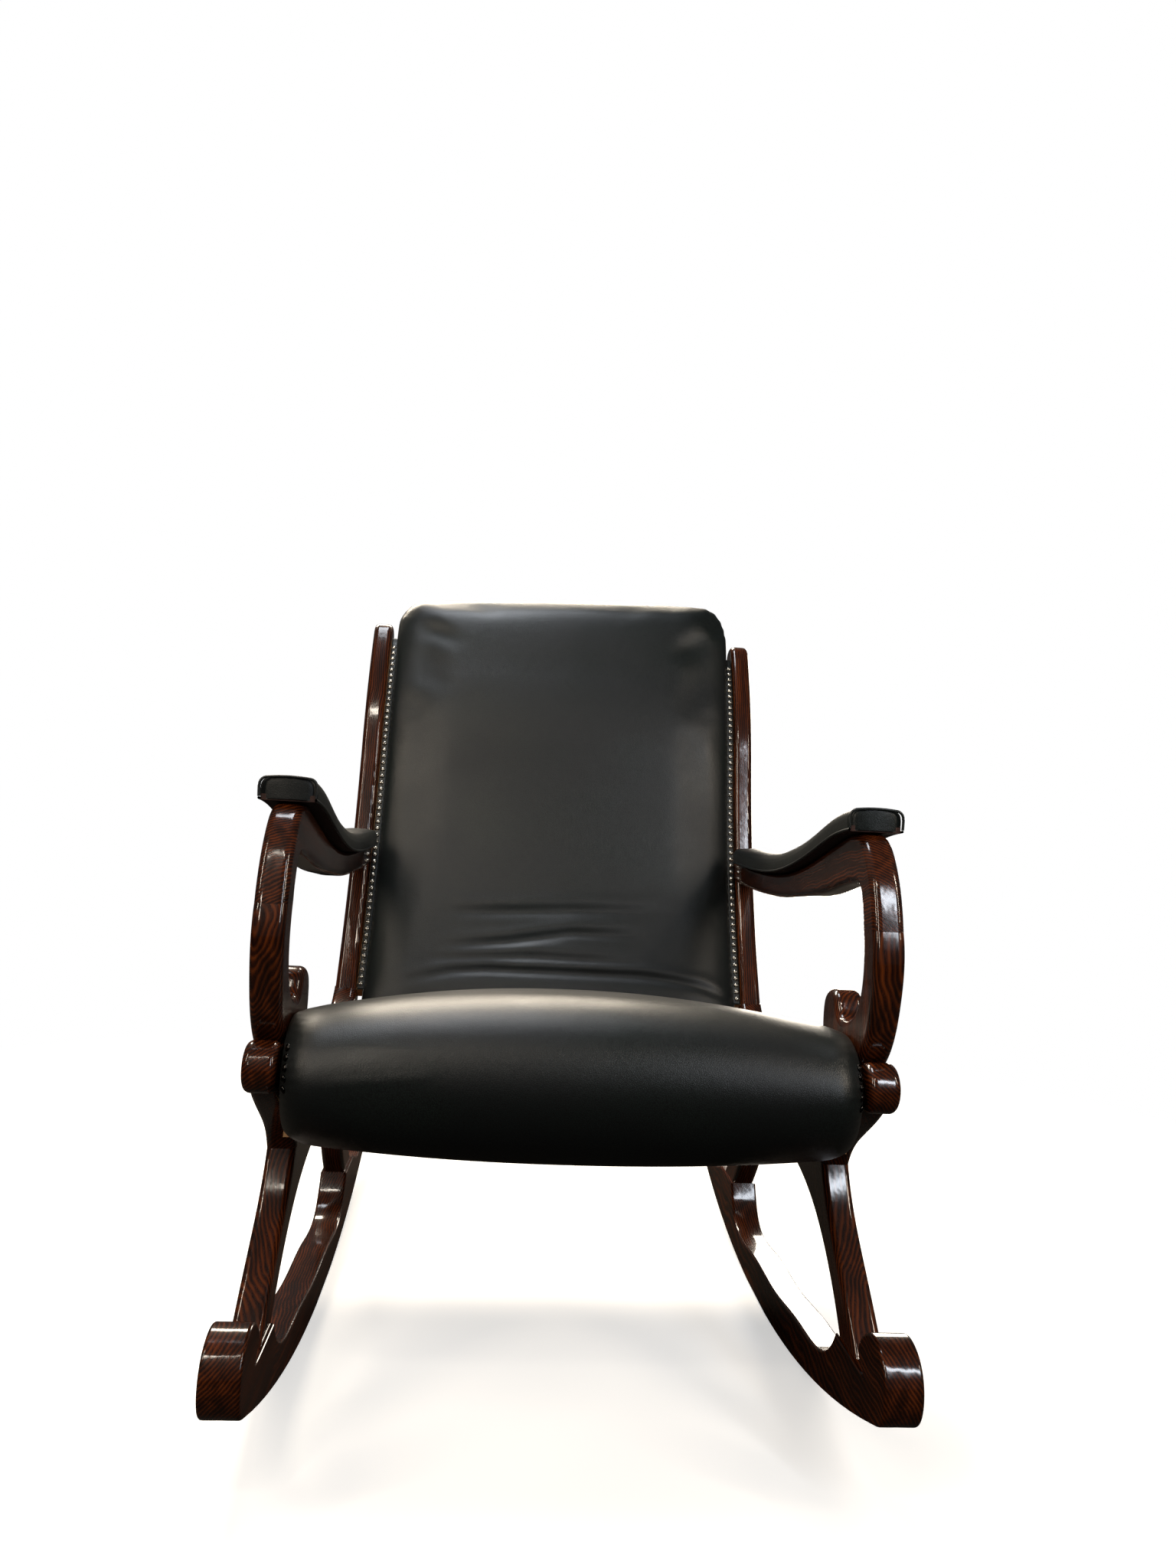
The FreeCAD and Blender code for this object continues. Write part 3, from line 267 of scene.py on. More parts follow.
SIDES = (("left", -1.0), ("right", 1.0))
rocker_oak = stained_oak("stained_oak_rocker", 4.0)
for side, sign in SIDES:
    finish_node("rocker_" + side, rocker_oak)

# Legs
# Front and rear legs are sabre shapes sawn from the same stained oak, with the grain along each leg. They
# are dowelled to the rocker pads below and to the seat rail above, and meet over an arch.
front_leg_oak = stained_oak("stained_oak_front_leg", 58.0, 60.0)
rear_leg_oak = stained_oak("stained_oak_rear_leg", 128.0, 60.0)
for side, sign in SIDES:
    finish_node("front_leg_" + side, front_leg_oak)
    finish_node("rear_leg_" + side, rear_leg_oak)

# Seat side rails
# One shaped board on each side carries the seat, the knob in front and the foot of the back stile.
rail_oak = stained_oak("stained_oak_rail", -6.0, 10.0)
for side, sign in SIDES:
    finish_node("seat_side_rail_" + side, rail_oak)

# Back stiles
# Long S-shaped uprights of stained oak, rounded on all long edges and doweled on the seat rails.
stile_oak = stained_oak("stained_oak_stile", 70.0, 70.0)
for side, sign in SIDES:
    finish_node("back_stile_" + side, stile_oak)

# Arm supports and arms
# The C of each arm is two pieces glued on a flat line: a support with a small curl behind it, its grain
# upright, and the swept upper arm, its grain along the sweep.
support_oak = stained_oak("stained_oak_arm_support", 84.0, 75.0)
arm_oak = stained_oak("stained_oak_upper_arm", -12.0, 30.0)
for side, sign in SIDES:
    finish_node("arm_support_" + side, support_oak)
    finish_node("upper_arm_" + side, arm_oak)

# Hidden frame
# Beech rails, cleats, blocks and dowels join the two sides inside the upholstery. Beech is pale, close
# and plain, and is left raw where nobody sees it.
def raw_beech(name, tone):
    """Unfinished beech: short fine flecks along the grain, matt."""
    material, tree, place = new_material(name)
    fleck = add_node(tree, "Mapping", {"Vector": place.outputs["Object"]}, vector_type="POINT",
                     Scale=(160, 900, 900))
    dots = add_node(tree, "TexNoise", {"Vector": fleck.outputs[0]}, Scale=1.0, Detail=3.0)
    wide = add_node(tree, "TexNoise", {"Vector": place.outputs["Object"]}, Scale=14.0, Detail=2.0)
    tint = ramp(tree, wide.outputs["Fac"], [(0.3, tone[0]), (0.7, tone[1])])
    spots = ramp(tree, dots.outputs["Fac"], [(0.45, "#ffffff"), (0.62, "#a07a58")])
    colour = add_node(tree, "MixRGB", {"Color1": tint.outputs["Color"], "Color2": spots.outputs["Color"]},
                      blend_type="MULTIPLY", Fac=0.6)
    rough = add_node(tree, "MapRange", {"Value": dots.outputs["Fac"]}, To_Min=0.62, To_Max=0.8)
    dents = add_node(tree, "Bump", {"Height": dots.outputs["Fac"]}, Strength=0.25, Distance=0.0003)
    shader = add_node(tree, "BsdfPrincipled", {"Base Color": colour.outputs["Color"],
                                               "Roughness": rough.outputs[0], "Normal": dents.outputs[0]},
                      IOR=1.5)
    return finished(material, tree, shader)


beech = raw_beech("raw_beech", ("#b08258", "#c79b6e"))
stained_ply = raw_beech("stained_plywood", ("#2a1209", "#3d1c0e"))
for name in ("front_seat_rail", "rear_seat_rail", "seat_cleat_left", "seat_cleat_right", "seat_corner_blocks",
             "back_frame_member_left", "back_frame_member_right", "crest_rail", "lumbar_rail",
             "foot_dowels", "leg_dowels", "arm_dowels", "stile_dowels"):
    finish_node(name, beech)
for side, sign in SIDES:
    finish_node("arm_pad_board_" + side, stained_ply)

# Springs and screws
# Five zigzag springs of tempered steel wire run from the front rail to the rear rail. Wood screws hold
# the seat frame and the back frame between the side frames.
def drawn_steel(name, tone, rough):
    """Plain steel: grey, slightly blued, with drawing marks."""
    material, tree, place = new_material(name)
    marks = add_node(tree, "TexNoise", {"Vector": place.outputs["Object"]}, Scale=420.0, Detail=3.0)
    tint = ramp(tree, marks.outputs["Fac"], [(0.3, tone[0]), (0.7, tone[1])])
    matt = add_node(tree, "MapRange", {"Value": marks.outputs["Fac"]},
                    To_Min=rough - 0.08, To_Max=rough + 0.12)
    dents = add_node(tree, "Bump", {"Height": marks.outputs["Fac"]}, Strength=0.2, Distance=0.0001)
    shader = add_node(tree, "BsdfPrincipled", {"Base Color": tint.outputs["Color"],
                                               "Roughness": matt.outputs[0], "Normal": dents.outputs[0]},
                      Metallic=1.0)
    return finished(material, tree, shader)


spring_steel = drawn_steel("tempered_steel_wire", ("#6d7175", "#8a8e92"), 0.35)
for name in ("seat_springs", "frame_screws"):
    finish_node(name, spring_steel)

# Webbing and cloths
# Jute straps and burlap are plain weaves of coarse natural yarn; the lining below the seat is a thin
# black cloth. All are tacked to the hidden frame.
def plain_weave(name, thread_mm, light, dark):
    """Plain weave from two crossed waves, one thread wide each, with slubs in the yarn."""
    material, tree, place = new_material(name)
    size = add_node(tree, "Mapping", {"Vector": place.outputs["Object"]}, vector_type="POINT",
                    Scale=(1000 / thread_mm, 1000 / thread_mm, 1000 / thread_mm))
    across = add_node(tree, "TexWave", {"Vector": size.outputs[0]}, bands_direction="X", Scale=0.157)
    along = add_node(tree, "TexWave", {"Vector": size.outputs[0]}, bands_direction="Y", Scale=0.157)
    cross = add_node(tree, "Math", {0: across.outputs["Fac"], 1: along.outputs["Fac"]}, operation="MULTIPLY")
    slubs = add_node(tree, "TexNoise", {"Vector": size.outputs[0]}, Scale=0.4, Detail=3.0)
    tint = ramp(tree, slubs.outputs["Fac"], [(0.3, dark), (0.7, light)])
    shade = add_node(tree, "MixRGB", {"Fac": cross.outputs[0], "Color1": tint.outputs["Color"]},
                     Color2=linear(dark))
    rough = add_node(tree, "MapRange", {"Value": slubs.outputs["Fac"]}, To_Min=0.8, To_Max=0.95)
    dents = add_node(tree, "Bump", {"Height": cross.outputs[0]}, Strength=0.6, Distance=thread_mm * 0.0004)
    shader = add_node(tree, "BsdfPrincipled", {"Base Color": shade.outputs["Color"],
                                               "Roughness": rough.outputs[0], "Normal": dents.outputs[0]},
                      IOR=1.46)
    return finished(material, tree, shader)


jute = plain_weave("jute_webbing", 2.2, "#a98d62", "#6f5836")
burlap = plain_weave("burlap", 1.8, "#a08660", "#665033")
lining_cloth = plain_weave("black_lining_cloth", 0.9, "#1c1c1d", "#0b0b0c")
finish_node("back_webbing", jute)


def link_mesh(name, points, faces, material):
    """A smooth-shaded mesh piece of the chair, riding on its one body."""
    mesh = bpy.data.meshes.new(name)
    mesh.from_pydata([tuple(p) for p in points], [], faces)
    mesh.validate()
    mesh.update()
    for polygon in mesh.polygons:
        polygon.use_smooth = True
    mesh.materials.append(material)
    piece = bpy.data.objects.new(name, mesh)
    bpy.context.scene.collection.objects.link(piece)
    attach(piece, BODY)
    return piece


def face_out(piece):
    """Turns all faces of a closed mesh outward."""
    mesh = bmesh.new()
    mesh.from_mesh(piece.data)
    bmesh.ops.recalc_face_normals(mesh, faces=mesh.faces)
    mesh.to_mesh(piece.data)
    mesh.free()


def cloth_sheet(name, at, across, along, thick, material):
    """A thin closed sheet from a function of two shares, with its thickness towards -Z or inward."""
    count = across * along
    points = [Vector(at(i / (across - 1), j / (along - 1), depth)) for depth in (0.0, thick)
              for i in range(across) for j in range(along)]
    faces = []
    for i in range(across - 1):
        for j in range(along - 1):
            a, b = i * along + j, (i + 1) * along + j
            faces.append((a, b, b + 1, a + 1))
            faces.append((count + a, count + a + 1, count + b + 1, count + b))
    rim = ([i * along for i in range(across)] + [(across - 1) * along + j for j in range(1, along)]
           + [i * along + along - 1 for i in range(across - 2, -1, -1)] + list(range(along - 2, 0, -1)))
    for here, there in zip(rim, rim[1:] + rim[:1]):
        faces.append((there, here, count + here, count + there))
    piece = link_mesh(name, points, faces, material)
    face_out(piece)
    return piece


lining_low, lining_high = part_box("underside_cloth")
LINING_SAG = 0.006


def lining_at(i, j, depth):
    x = lining_low[0] + i * (lining_high[0] - lining_low[0])
    y = lining_low[1] + j * (lining_high[1] - lining_low[1])
    sag = LINING_SAG * math.sin(math.pi * i) * math.sin(math.pi * j)
    tuck = 0.0006 * math.sin(i * 60.0) * (1.0 - math.sin(math.pi * j)) ** 4
    return (x, y, lining_low[2] - sag + tuck + depth)


lining = cloth_sheet("underside_lining", lining_at, 49, 41, 0.0009, lining_cloth)
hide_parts("underside_cloth")

burlap_low, burlap_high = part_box("spring_cloth")
SPRING_STEP = 0.098


def burlap_at(i, j, depth):
    x = burlap_low[0] + i * (burlap_high[0] - burlap_low[0])
    y = burlap_low[1] + j * (burlap_high[1] - burlap_low[1])
    top = burlap_high[2] + j * (burlap_low[2] - burlap_high[2])
    dip = 0.0006 * (1.0 - math.cos(2.0 * math.pi * x / SPRING_STEP)) * math.sin(math.pi * j)
    return (x, y, top - dip - depth)


burlap_piece = cloth_sheet("spring_burlap", burlap_at, 45, 41, 0.0009, burlap)
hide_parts("spring_cloth")

# Seat
# The seat is a spring seat whose leather runs back from a big front roll. The leather is cut in one
# piece, pulled over the roll, gathered in fine pleats round its ends and tacked below the front rail.
SEAT_HALF = 0.2765
SEAT_CORNER = 0.034
ROLL = (-0.3215, 0.352)
ROLL_RADIUS = 0.082
ROLL_SHRINK = 0.72
SEAT_REAR = (0.1365, 0.343)
SEAT_CROWN = 0.009
SEAT_FLOOR = 0.2905
LEATHER_TURN = -0.2895
GRAIN_MM = 1.7


def dyed_leather(name):
    """Black full-grain leather with a satin finish: close pebble grain, drawn coarser than real so that it
    shows, soft changes of gloss where it has been rubbed, and a slightly warmer, worn tone there."""
    material, tree, place = new_material(name)
    hide = add_node(tree, "Mapping", {"Vector": place.outputs["Object"]}, vector_type="POINT",
                    Scale=(1000 / GRAIN_MM, 1000 / GRAIN_MM, 1000 / GRAIN_MM))
    drift = add_node(tree, "TexNoise", {"Vector": hide.outputs[0]}, Scale=0.35, Detail=2.0)
    moved = add_node(tree, "MixRGB", {"Color1": hide.outputs[0], "Color2": drift.outputs["Color"]},
                     blend_type="ADD", Fac=0.9)
    pebble = add_node(tree, "TexVoronoi", {"Vector": moved.outputs["Color"]}, feature="DISTANCE_TO_EDGE",
                      Scale=1.0)
    crack = ramp(tree, pebble.outputs["Distance"], [(0.0, 0.0), (0.22, 1.0)])
    wide = add_node(tree, "TexNoise", {"Vector": place.outputs["Object"]}, Scale=7.0, Detail=4.0)
    rubbed = ramp(tree, wide.outputs["Fac"], [(0.42, 0.0), (0.7, 1.0)])
    tint = add_node(tree, "MixRGB", {"Fac": rubbed.outputs["Color"]}, Color1=linear("#0c1212"),
                    Color2=linear("#171f1c"))
    dark = add_node(tree, "MixRGB", {"Fac": crack.outputs["Color"], "Color2": tint.outputs["Color"]},
                    Color1=linear("#090a0b"))
    rough = add_node(tree, "MapRange", {"Value": rubbed.outputs["Color"]}, To_Min=0.42, To_Max=0.33)
    creases = add_node(tree, "TexNoise", {"Vector": place.outputs["Object"]}, Scale=55.0, Detail=3.0)
    soft = add_node(tree, "Bump", {"Height": creases.outputs["Fac"]}, Strength=0.12, Distance=0.002)
    grain = add_node(tree, "Bump", {"Height": crack.outputs["Color"], "Normal": soft.outputs[0]},
                     Strength=0.22, Distance=0.00025)
    shader = add_node(tree, "BsdfPrincipled", {"Base Color": dark.outputs["Color"],
                                               "Roughness": rough.outputs[0], "Normal": grain.outputs[0]},
                      IOR=1.45, Specular_IOR_Level=0.5, Sheen_Weight=0.03, Sheen_Roughness=0.45)
    shader.inputs["Sheen Tint"].default_value = linear("#b9b4a8")
    return finished(material, tree, shader)


black_leather = dyed_leather("dyed_black_leather")


def ring_point(centre, radius, degrees):
    angle = math.radians(degrees)
    return (centre[0] + radius * math.cos(angle), centre[1] + radius * math.sin(angle))


def circle_through(a, b, c):
    """Centre and radius of the circle through three places of the side view."""
    d = 2.0 * (a[0] * (b[1] - c[1]) + b[0] * (c[1] - a[1]) + c[0] * (a[1] - b[1]))
    sa, sb, sc = (p[0] ** 2 + p[1] ** 2 for p in (a, b, c))
    y = (sa * (b[1] - c[1]) + sb * (c[1] - a[1]) + sc * (a[1] - b[1])) / d
    z = (sa * (c[0] - b[0]) + sb * (a[0] - c[0]) + sc * (b[0] - a[0])) / d
    return (y, z), math.hypot(a[0] - y, a[1] - z)


def arc_points(start, middle, end, count):
    """Even places along the arc through three places, the last left out."""
    centre, radius = circle_through(start, middle, end)
    angles = [math.atan2(p[1] - centre[1], p[0] - centre[0]) for p in (start, middle, end)]
    sweep = (angles[2] - angles[0]) % (2 * math.pi)
    if (angles[1] - angles[0]) % (2 * math.pi) > sweep:
        sweep -= 2 * math.pi
    turns = [angles[0] + sweep * index / count for index in range(count)]
    return [(centre[0] + radius * math.cos(t), centre[1] + radius * math.sin(t)) for t in turns]


def line_points(start, end, count):
    return [(start[0] + (end[0] - start[0]) * k / count, start[1] + (end[1] - start[1]) * k / count)
            for k in range(count)]


def corner_drop(x, half, size):
    """How far a rounded corner falls back at a distance from the middle."""
    over = min(max(abs(x) - (half - size), 0.0), size)
    return size - math.sqrt(size ** 2 - over ** 2)


def stations(half, size, inner, outer=9):
    """Places across a cushion, close together round its corners."""
    ends = [half - size + size * math.sin(math.radians(88.0 * k / outer)) for k in range(1, outer + 1)]
    flat = [(-1.0 + 2.0 * k / inner) * (half - size) for k in range(inner + 1)]
    return [-x for x in ends[::-1]] + flat + ends


def padded_mesh(name, outer_path, inner_path, places, material, cap=4):
    """A closed cushion from two paths of equal length at each place across. Its ends are filled across, so
    that nearly every face is a quad."""
    columns = [(places[0], k / cap) for k in range(cap - 1, 0, -1)]
    columns += [(x, 0.0) for x in places]
    columns += [(places[-1], k / cap) for k in range(1, cap)]
    paths = {x: (outer_path(x), inner_path(x)) for x in places}
    rows = len(paths[places[0]][0])
    points, index = [], {}

    def point_at(c, side, r):
        x, share = columns[c]
        if (c, side, r) not in index:
            top, base = paths[x][0][r], paths[x][1][r]
            y, z = base if side else top
            if share:
                y, z = top[0] + (base[0] - top[0]) * share, top[1] + (base[1] - top[1]) * share
            index[c, side, r] = len(points)
            points.append((x, y, z))
        return index[c, side, r]

    faces = []
    first, last = cap - 1, len(columns) - cap
    for r in range(rows - 1):
        for c in range(len(columns) - 1):
            corners = ((c, 0, r), (c + 1, 0, r), (c + 1, 0, r + 1), (c, 0, r + 1))
            faces.append([point_at(*p) for p in corners])
        for c in range(first, last):
            corners = ((c, 1, r), (c, 1, r + 1), (c + 1, 1, r + 1), (c + 1, 1, r))
            faces.append([point_at(*p) for p in corners])
        faces.append([point_at(*p) for p in ((0, 0, r), (0, 0, r + 1), (first, 1, r + 1), (first, 1, r))])
        end = len(columns) - 1
        faces.append([point_at(*p) for p in ((end, 0, r), (last, 1, r), (last, 1, r + 1), (end, 0, r + 1))])
    for r, flip in ((0, False), (rows - 1, True)):
        for c in range(first, last):
            face = [point_at(*p) for p in ((c, 0, r), (c, 1, r), (c + 1, 1, r), (c + 1, 0, r))]
            faces.append(face[::-1] if flip else face)
        for start, end, rim in ((0, first, (first, 1, r)), (len(columns) - 1, last, (last, 1, r))):
            ring = [(c, 0, r) for c in range(min(start, end), max(start, end) + 1)]
            face = [point_at(*p) for p in ring + [rim]]
            faces.append(face)
    piece = link_mesh(name, points, faces, material)
    face_out(piece)
    return piece


def coordinates(mesh):
    values = np.empty(len(mesh.vertices) * 3)
    mesh.vertices.foreach_get("co", values)
    return values.reshape(-1, 3)


def normals(mesh):
    values = np.empty(len(mesh.vertices) * 3)
    mesh.vertices.foreach_get("normal", values)
    return values.reshape(-1, 3)


def set_coordinates(mesh, values):
    mesh.vertices.foreach_set("co", values.reshape(-1))
    mesh.update()


INFLATE_FRAMES = 20


def evened(mesh, moved, passes):
    """Spreads the moves of a mesh's points over their neighbours, which takes out sharp buckles."""
    pairs = np.empty(len(mesh.edges) * 2, dtype=int)
    mesh.edges.foreach_get("vertices", pairs)
    pairs = pairs.reshape(-1, 2)
    count = np.bincount(pairs.ravel(), minlength=len(moved))[:, None]
    for turn in range(passes):
        total = np.zeros_like(moved)
        np.add.at(total, pairs[:, 0], moved[pairs[:, 1]])
        np.add.at(total, pairs[:, 1], moved[pairs[:, 0]])
        moved = 0.4 * moved + 0.6 * total / count
    return moved


def inflate(piece, held, cap, pressure=4.0, passes=2):
    """Lets the cover swell as cloth under air pressure, with no gravity. held is 1 where the cover is tacked
    down. No point moves further than cap."""
    mesh = piece.data
    start = coordinates(mesh)
    group = piece.vertex_groups.new(name="tacked")
    for index in np.nonzero(held > 0.01)[0]:
        group.add([int(index)], float(held[index]), "REPLACE")
    cloth = piece.modifiers.new("cover", "CLOTH")
    settings = cloth.settings
    settings.quality = 5
    settings.mass = 0.3
    settings.tension_stiffness = 15.0
    settings.compression_stiffness = 15.0
    settings.bending_stiffness = 0.6
    settings.use_pressure = True
    settings.uniform_pressure_force = pressure
    settings.effector_weights.gravity = 0.0
    settings.vertex_group_mass = group.name
    cloth.point_cache.frame_start = 1
    cloth.point_cache.frame_end = INFLATE_FRAMES
    scene = bpy.context.scene
    for number in range(1, INFLATE_FRAMES + 1):
        scene.frame_set(number)
    graph = bpy.context.evaluated_depsgraph_get()
    result = piece.evaluated_get(graph).to_mesh()
    moved = coordinates(result) - start
    piece.evaluated_get(graph).to_mesh_clear()
    far = np.linalg.norm(moved, axis=1, keepdims=True)
    moved *= np.minimum(1.0, cap / np.maximum(far, 1e-9))
    piece.modifiers.remove(cloth)
    piece.vertex_groups.remove(group)
    scene.frame_set(1)
    set_coordinates(mesh, start + evened(mesh, moved, passes))


def refine(piece):
    """One subdivision, for a smooth silhouette."""
    modifier = piece.modifiers.new("smooth", "SUBSURF")
    modifier.levels = modifier.render_levels = 1


def line_distance(places, route):
    """Signed distance and share along a polyline, for places in a plane. Positive on the left of it."""
    best = np.full(len(places), 1e9)
    signed = np.zeros(len(places))
    run = np.zeros(len(places))
    route = np.array(route)
    for k in range(len(route) - 1):
        way = route[k + 1] - route[k]
        size = np.hypot(*way)
        from_start = places - route[k]
        along = np.clip(from_start @ way / size ** 2, 0.0, 1.0)
        off = from_start - along[:, None] * way
        far = np.hypot(off[:, 0], off[:, 1])
        side = np.sign(way[0] * from_start[:, 1] - way[1] * from_start[:, 0])
        closer = far < best
        best[closer] = far[closer]
        signed[closer] = (far * side)[closer]
        run[closer] = (k + along[closer]) / (len(route) - 1)
    return signed, run


SEAT_SWELL = 0.0045
SEAT_CAP = 0.005
ROLL_RISE, ROLL_FALL = 0.083, 0.086
END_DROOP, END_LIFT = 0.018, 0.012
DROOP_AT = 0.245


def roll_quarter(x, inset, start, end, count):
    """Places round a stretch of the front roll, which is lower and thinner towards the seat's ends."""
    drop = corner_drop(x, SEAT_HALF, SEAT_CORNER)
    share = (abs(x) / DROOP_AT) ** 2.2
    reach = ROLL_RADIUS - inset - ROLL_SHRINK * drop
    rise = ROLL_RISE - inset - END_DROOP * share - 0.2 * drop
    fall = ROLL_FALL - inset - END_LIFT * share - 0.2 * drop
    places = []
    for k in range(count):
        angle = math.radians(start + (end - start) * k / count)
        height = rise if math.sin(angle) > 0.0 else fall
        places.append((ROLL[0] + 0.5 * drop + reach * math.cos(angle), ROLL[1] + height * math.sin(angle)))
    return places


def seat_outer(x, inset=SEAT_SWELL):
    """The seat's front roll and top at a place across it, from below the roll to the rear edge."""
    drop = corner_drop(x, SEAT_HALF, SEAT_CORNER)
    crest = roll_quarter(x, inset, 78, 78, 1)[0]
    rear = (SEAT_REAR[0] - inset, SEAT_REAR[1] - inset - 0.3 * drop)
    sag = SEAT_CROWN * (1.0 - (x / SEAT_HALF) ** 2)
    middle = ((crest[0] + rear[0]) / 2.0, (crest[1] + rear[1]) / 2.0 + sag)
    return (roll_quarter(x, inset, 270, 180, 25) + roll_quarter(x, inset, 180, 78, 27)
            + arc_points(crest, middle, rear, 66) + [rear])


def seat_inner(x, inset=SEAT_SWELL):
    """The hidden underside of the seat, along the same count of places."""
    base = roll_quarter(x, inset, 270, 270, 1)[0]
    start = (base[0] + 0.012, base[1] + 0.001)
    turn = (LEATHER_TURN, max(start[1], 0.2725) + 0.001)
    up = (LEATHER_TURN + 0.004, SEAT_FLOOR)
    rear = (SEAT_REAR[0] - inset, SEAT_FLOOR)
    return line_points(start, turn, 16) + line_points(turn, up, 6) + line_points(up, rear, 96) + [rear]


seat = padded_mesh("seat_cushion", seat_outer, seat_inner, stations(SEAT_HALF, SEAT_CORNER, 72),
                   black_leather)
shape = coordinates(seat.data)
low_part = np.clip((0.3 - shape[:, 2]) / 0.02, 0.0, 1.0)
side_part = np.clip((np.abs(shape[:, 0]) - (SEAT_HALF - 0.014)) / 0.01, 0.0, 1.0)
rear_part = np.clip((shape[:, 1] - (SEAT_REAR[0] - 0.03)) / 0.02, 0.0, 1.0)
inflate(seat, np.max([low_part, side_part, rear_part], axis=0), SEAT_CAP, passes=60)

PLEAT_PITCH = 0.0085
PLEAT_DEPTH = 0.0013
SCUFFS = [[(-0.245, 178.0), (-0.202, 174.0), (-0.145, 170.0), (-0.127, 166.0)],
          [(-0.206, 149.0), (-0.17, 152.0), (-0.122, 153.0)]]
shape = coordinates(seat.data)
out = normals(seat.data)
angle = np.degrees(np.arctan2(shape[:, 2] - ROLL[1], shape[:, 1] - ROLL[0])) % 360.0
on_roll = np.clip((ROLL_RADIUS * 1.6 - np.hypot(shape[:, 1] - ROLL[0], shape[:, 2] - ROLL[1])) / 0.03, 0, 1)
near_end = np.clip((np.abs(shape[:, 0]) - (SEAT_HALF - 0.03)) / 0.022, 0.0, 1.0) ** 1.5
wave = np.cos(np.radians(angle) * ROLL_RADIUS * 0.8 / PLEAT_PITCH * 2 * math.pi
              + 1.3 * np.sin(np.radians(angle) * 5.0))
push = -PLEAT_DEPTH * near_end * on_roll * (0.5 + 0.5 * wave)
for scuff in SCUFFS:
    route = [(x, math.radians(degrees) * ROLL_RADIUS) for x, degrees in scuff]
    signed, run = line_distance(np.stack([shape[:, 0], np.radians(angle) * ROLL_RADIUS], 1), route)
    push += 0.0006 * np.exp(-(signed / 0.004) ** 2) * np.sin(math.pi * np.clip(run, 0, 1)) * on_roll
set_coordinates(seat.data, shape + out * push[:, None])
refine(seat)
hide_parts("seat_leather", "seat_stuffing")

# Back
# The back is stuffed over webbing on its own frame and covered in one piece of leather, which rolls over
# the crest and is pleated at the two top corners. Below, it folds in over the seat in soft creases.
STILE_LOW = (0.1755, 0.345)
STILE_MID = (0.2585, 0.520)
STILE_TURN = (0.3095, 0.700)
STILE_TOP = (0.3775, 0.887)
BACK_HALF = 0.268
BACK_CORNER = 0.036
BACK_BULGE = 0.021
BACK_BASE = 0.324
CREST = (0.4015, 0.918)
CREST_RADIUS = 0.046
MEMBER_SET_BACK = 0.0042
MEMBER_REAR = 0.0312
MEMBER_SHARE = 0.93
BACK_SWELL = 0.0035
BACK_CAP = 0.005
CREST_AT = (-0.268, -0.244, -0.18, -0.112, 0.011, 0.141, 0.21, 0.268)
CREST_LIFT = (-0.019, -0.017, -0.010, -0.005, 0.002, 0.006, 0.006, 0.0)

low_centre, low_radius = circle_through(STILE_LOW, STILE_MID, STILE_TURN)
way = ((STILE_TURN[0] - low_centre[0]) / low_radius, (STILE_TURN[1] - low_centre[1]) / low_radius)
gap = (STILE_TOP[0] - STILE_TURN[0], STILE_TOP[1] - STILE_TURN[1])
reach_back = (gap[0] ** 2 + gap[1] ** 2) / (2.0 * (gap[0] * way[0] + gap[1] * way[1]))
top_centre = (STILE_TURN[0] + reach_back * way[0], STILE_TURN[1] + reach_back * way[1])
top_radius = abs(reach_back)
low_from = math.asin((STILE_LOW[1] - low_centre[1]) / low_radius)
low_to = math.asin((STILE_TURN[1] - low_centre[1]) / low_radius)
top_from = math.pi - math.asin((STILE_TURN[1] - top_centre[1]) / top_radius)
top_to = math.pi - math.asin((STILE_TOP[1] - top_centre[1]) / top_radius)


def low_point(share, back):
    """Place on the lower arc of the back, behind the front edge of the stile."""
    angle = low_from + share * (low_to - low_from)
    return (low_centre[0] + (low_radius + back) * math.cos(angle),
            low_centre[1] + (low_radius + back) * math.sin(angle))


def top_point(share, back):
    """Place on the upper arc of the back, behind the front edge of the stile."""
    angle = top_from + share * (top_to - top_from)
    return (top_centre[0] + (top_radius - back) * math.cos(angle),
            top_centre[1] + (top_radius - back) * math.sin(angle))


base_share = (math.asin((BACK_BASE - low_centre[1]) / low_radius) - low_from) / (low_to - low_from)


SHOULDER = 0.6
SHOULDER_PULL = 0.062
CREST_PULL = 0.036


def smooth_run(start, before, end, count):
    """Places on a curve that leaves start in the direction from before to it, and arrives level at end."""
    size = math.hypot(start[0] - before[0], start[1] - before[1])
    first = (start[0] + SHOULDER_PULL * (start[0] - before[0]) / size,
             start[1] + SHOULDER_PULL * (start[1] - before[1]) / size)
    second = (end[0] - CREST_PULL, end[1])
    places = []
    for k in range(count):
        t = k / count
        weights = ((1 - t) ** 3, 3 * t * (1 - t) ** 2, 3 * t * t * (1 - t), t ** 3)
        places.append(tuple(sum(w * p[axis] for w, p in zip(weights, (start, first, second, end)))
                            for axis in (0, 1)))
    return places


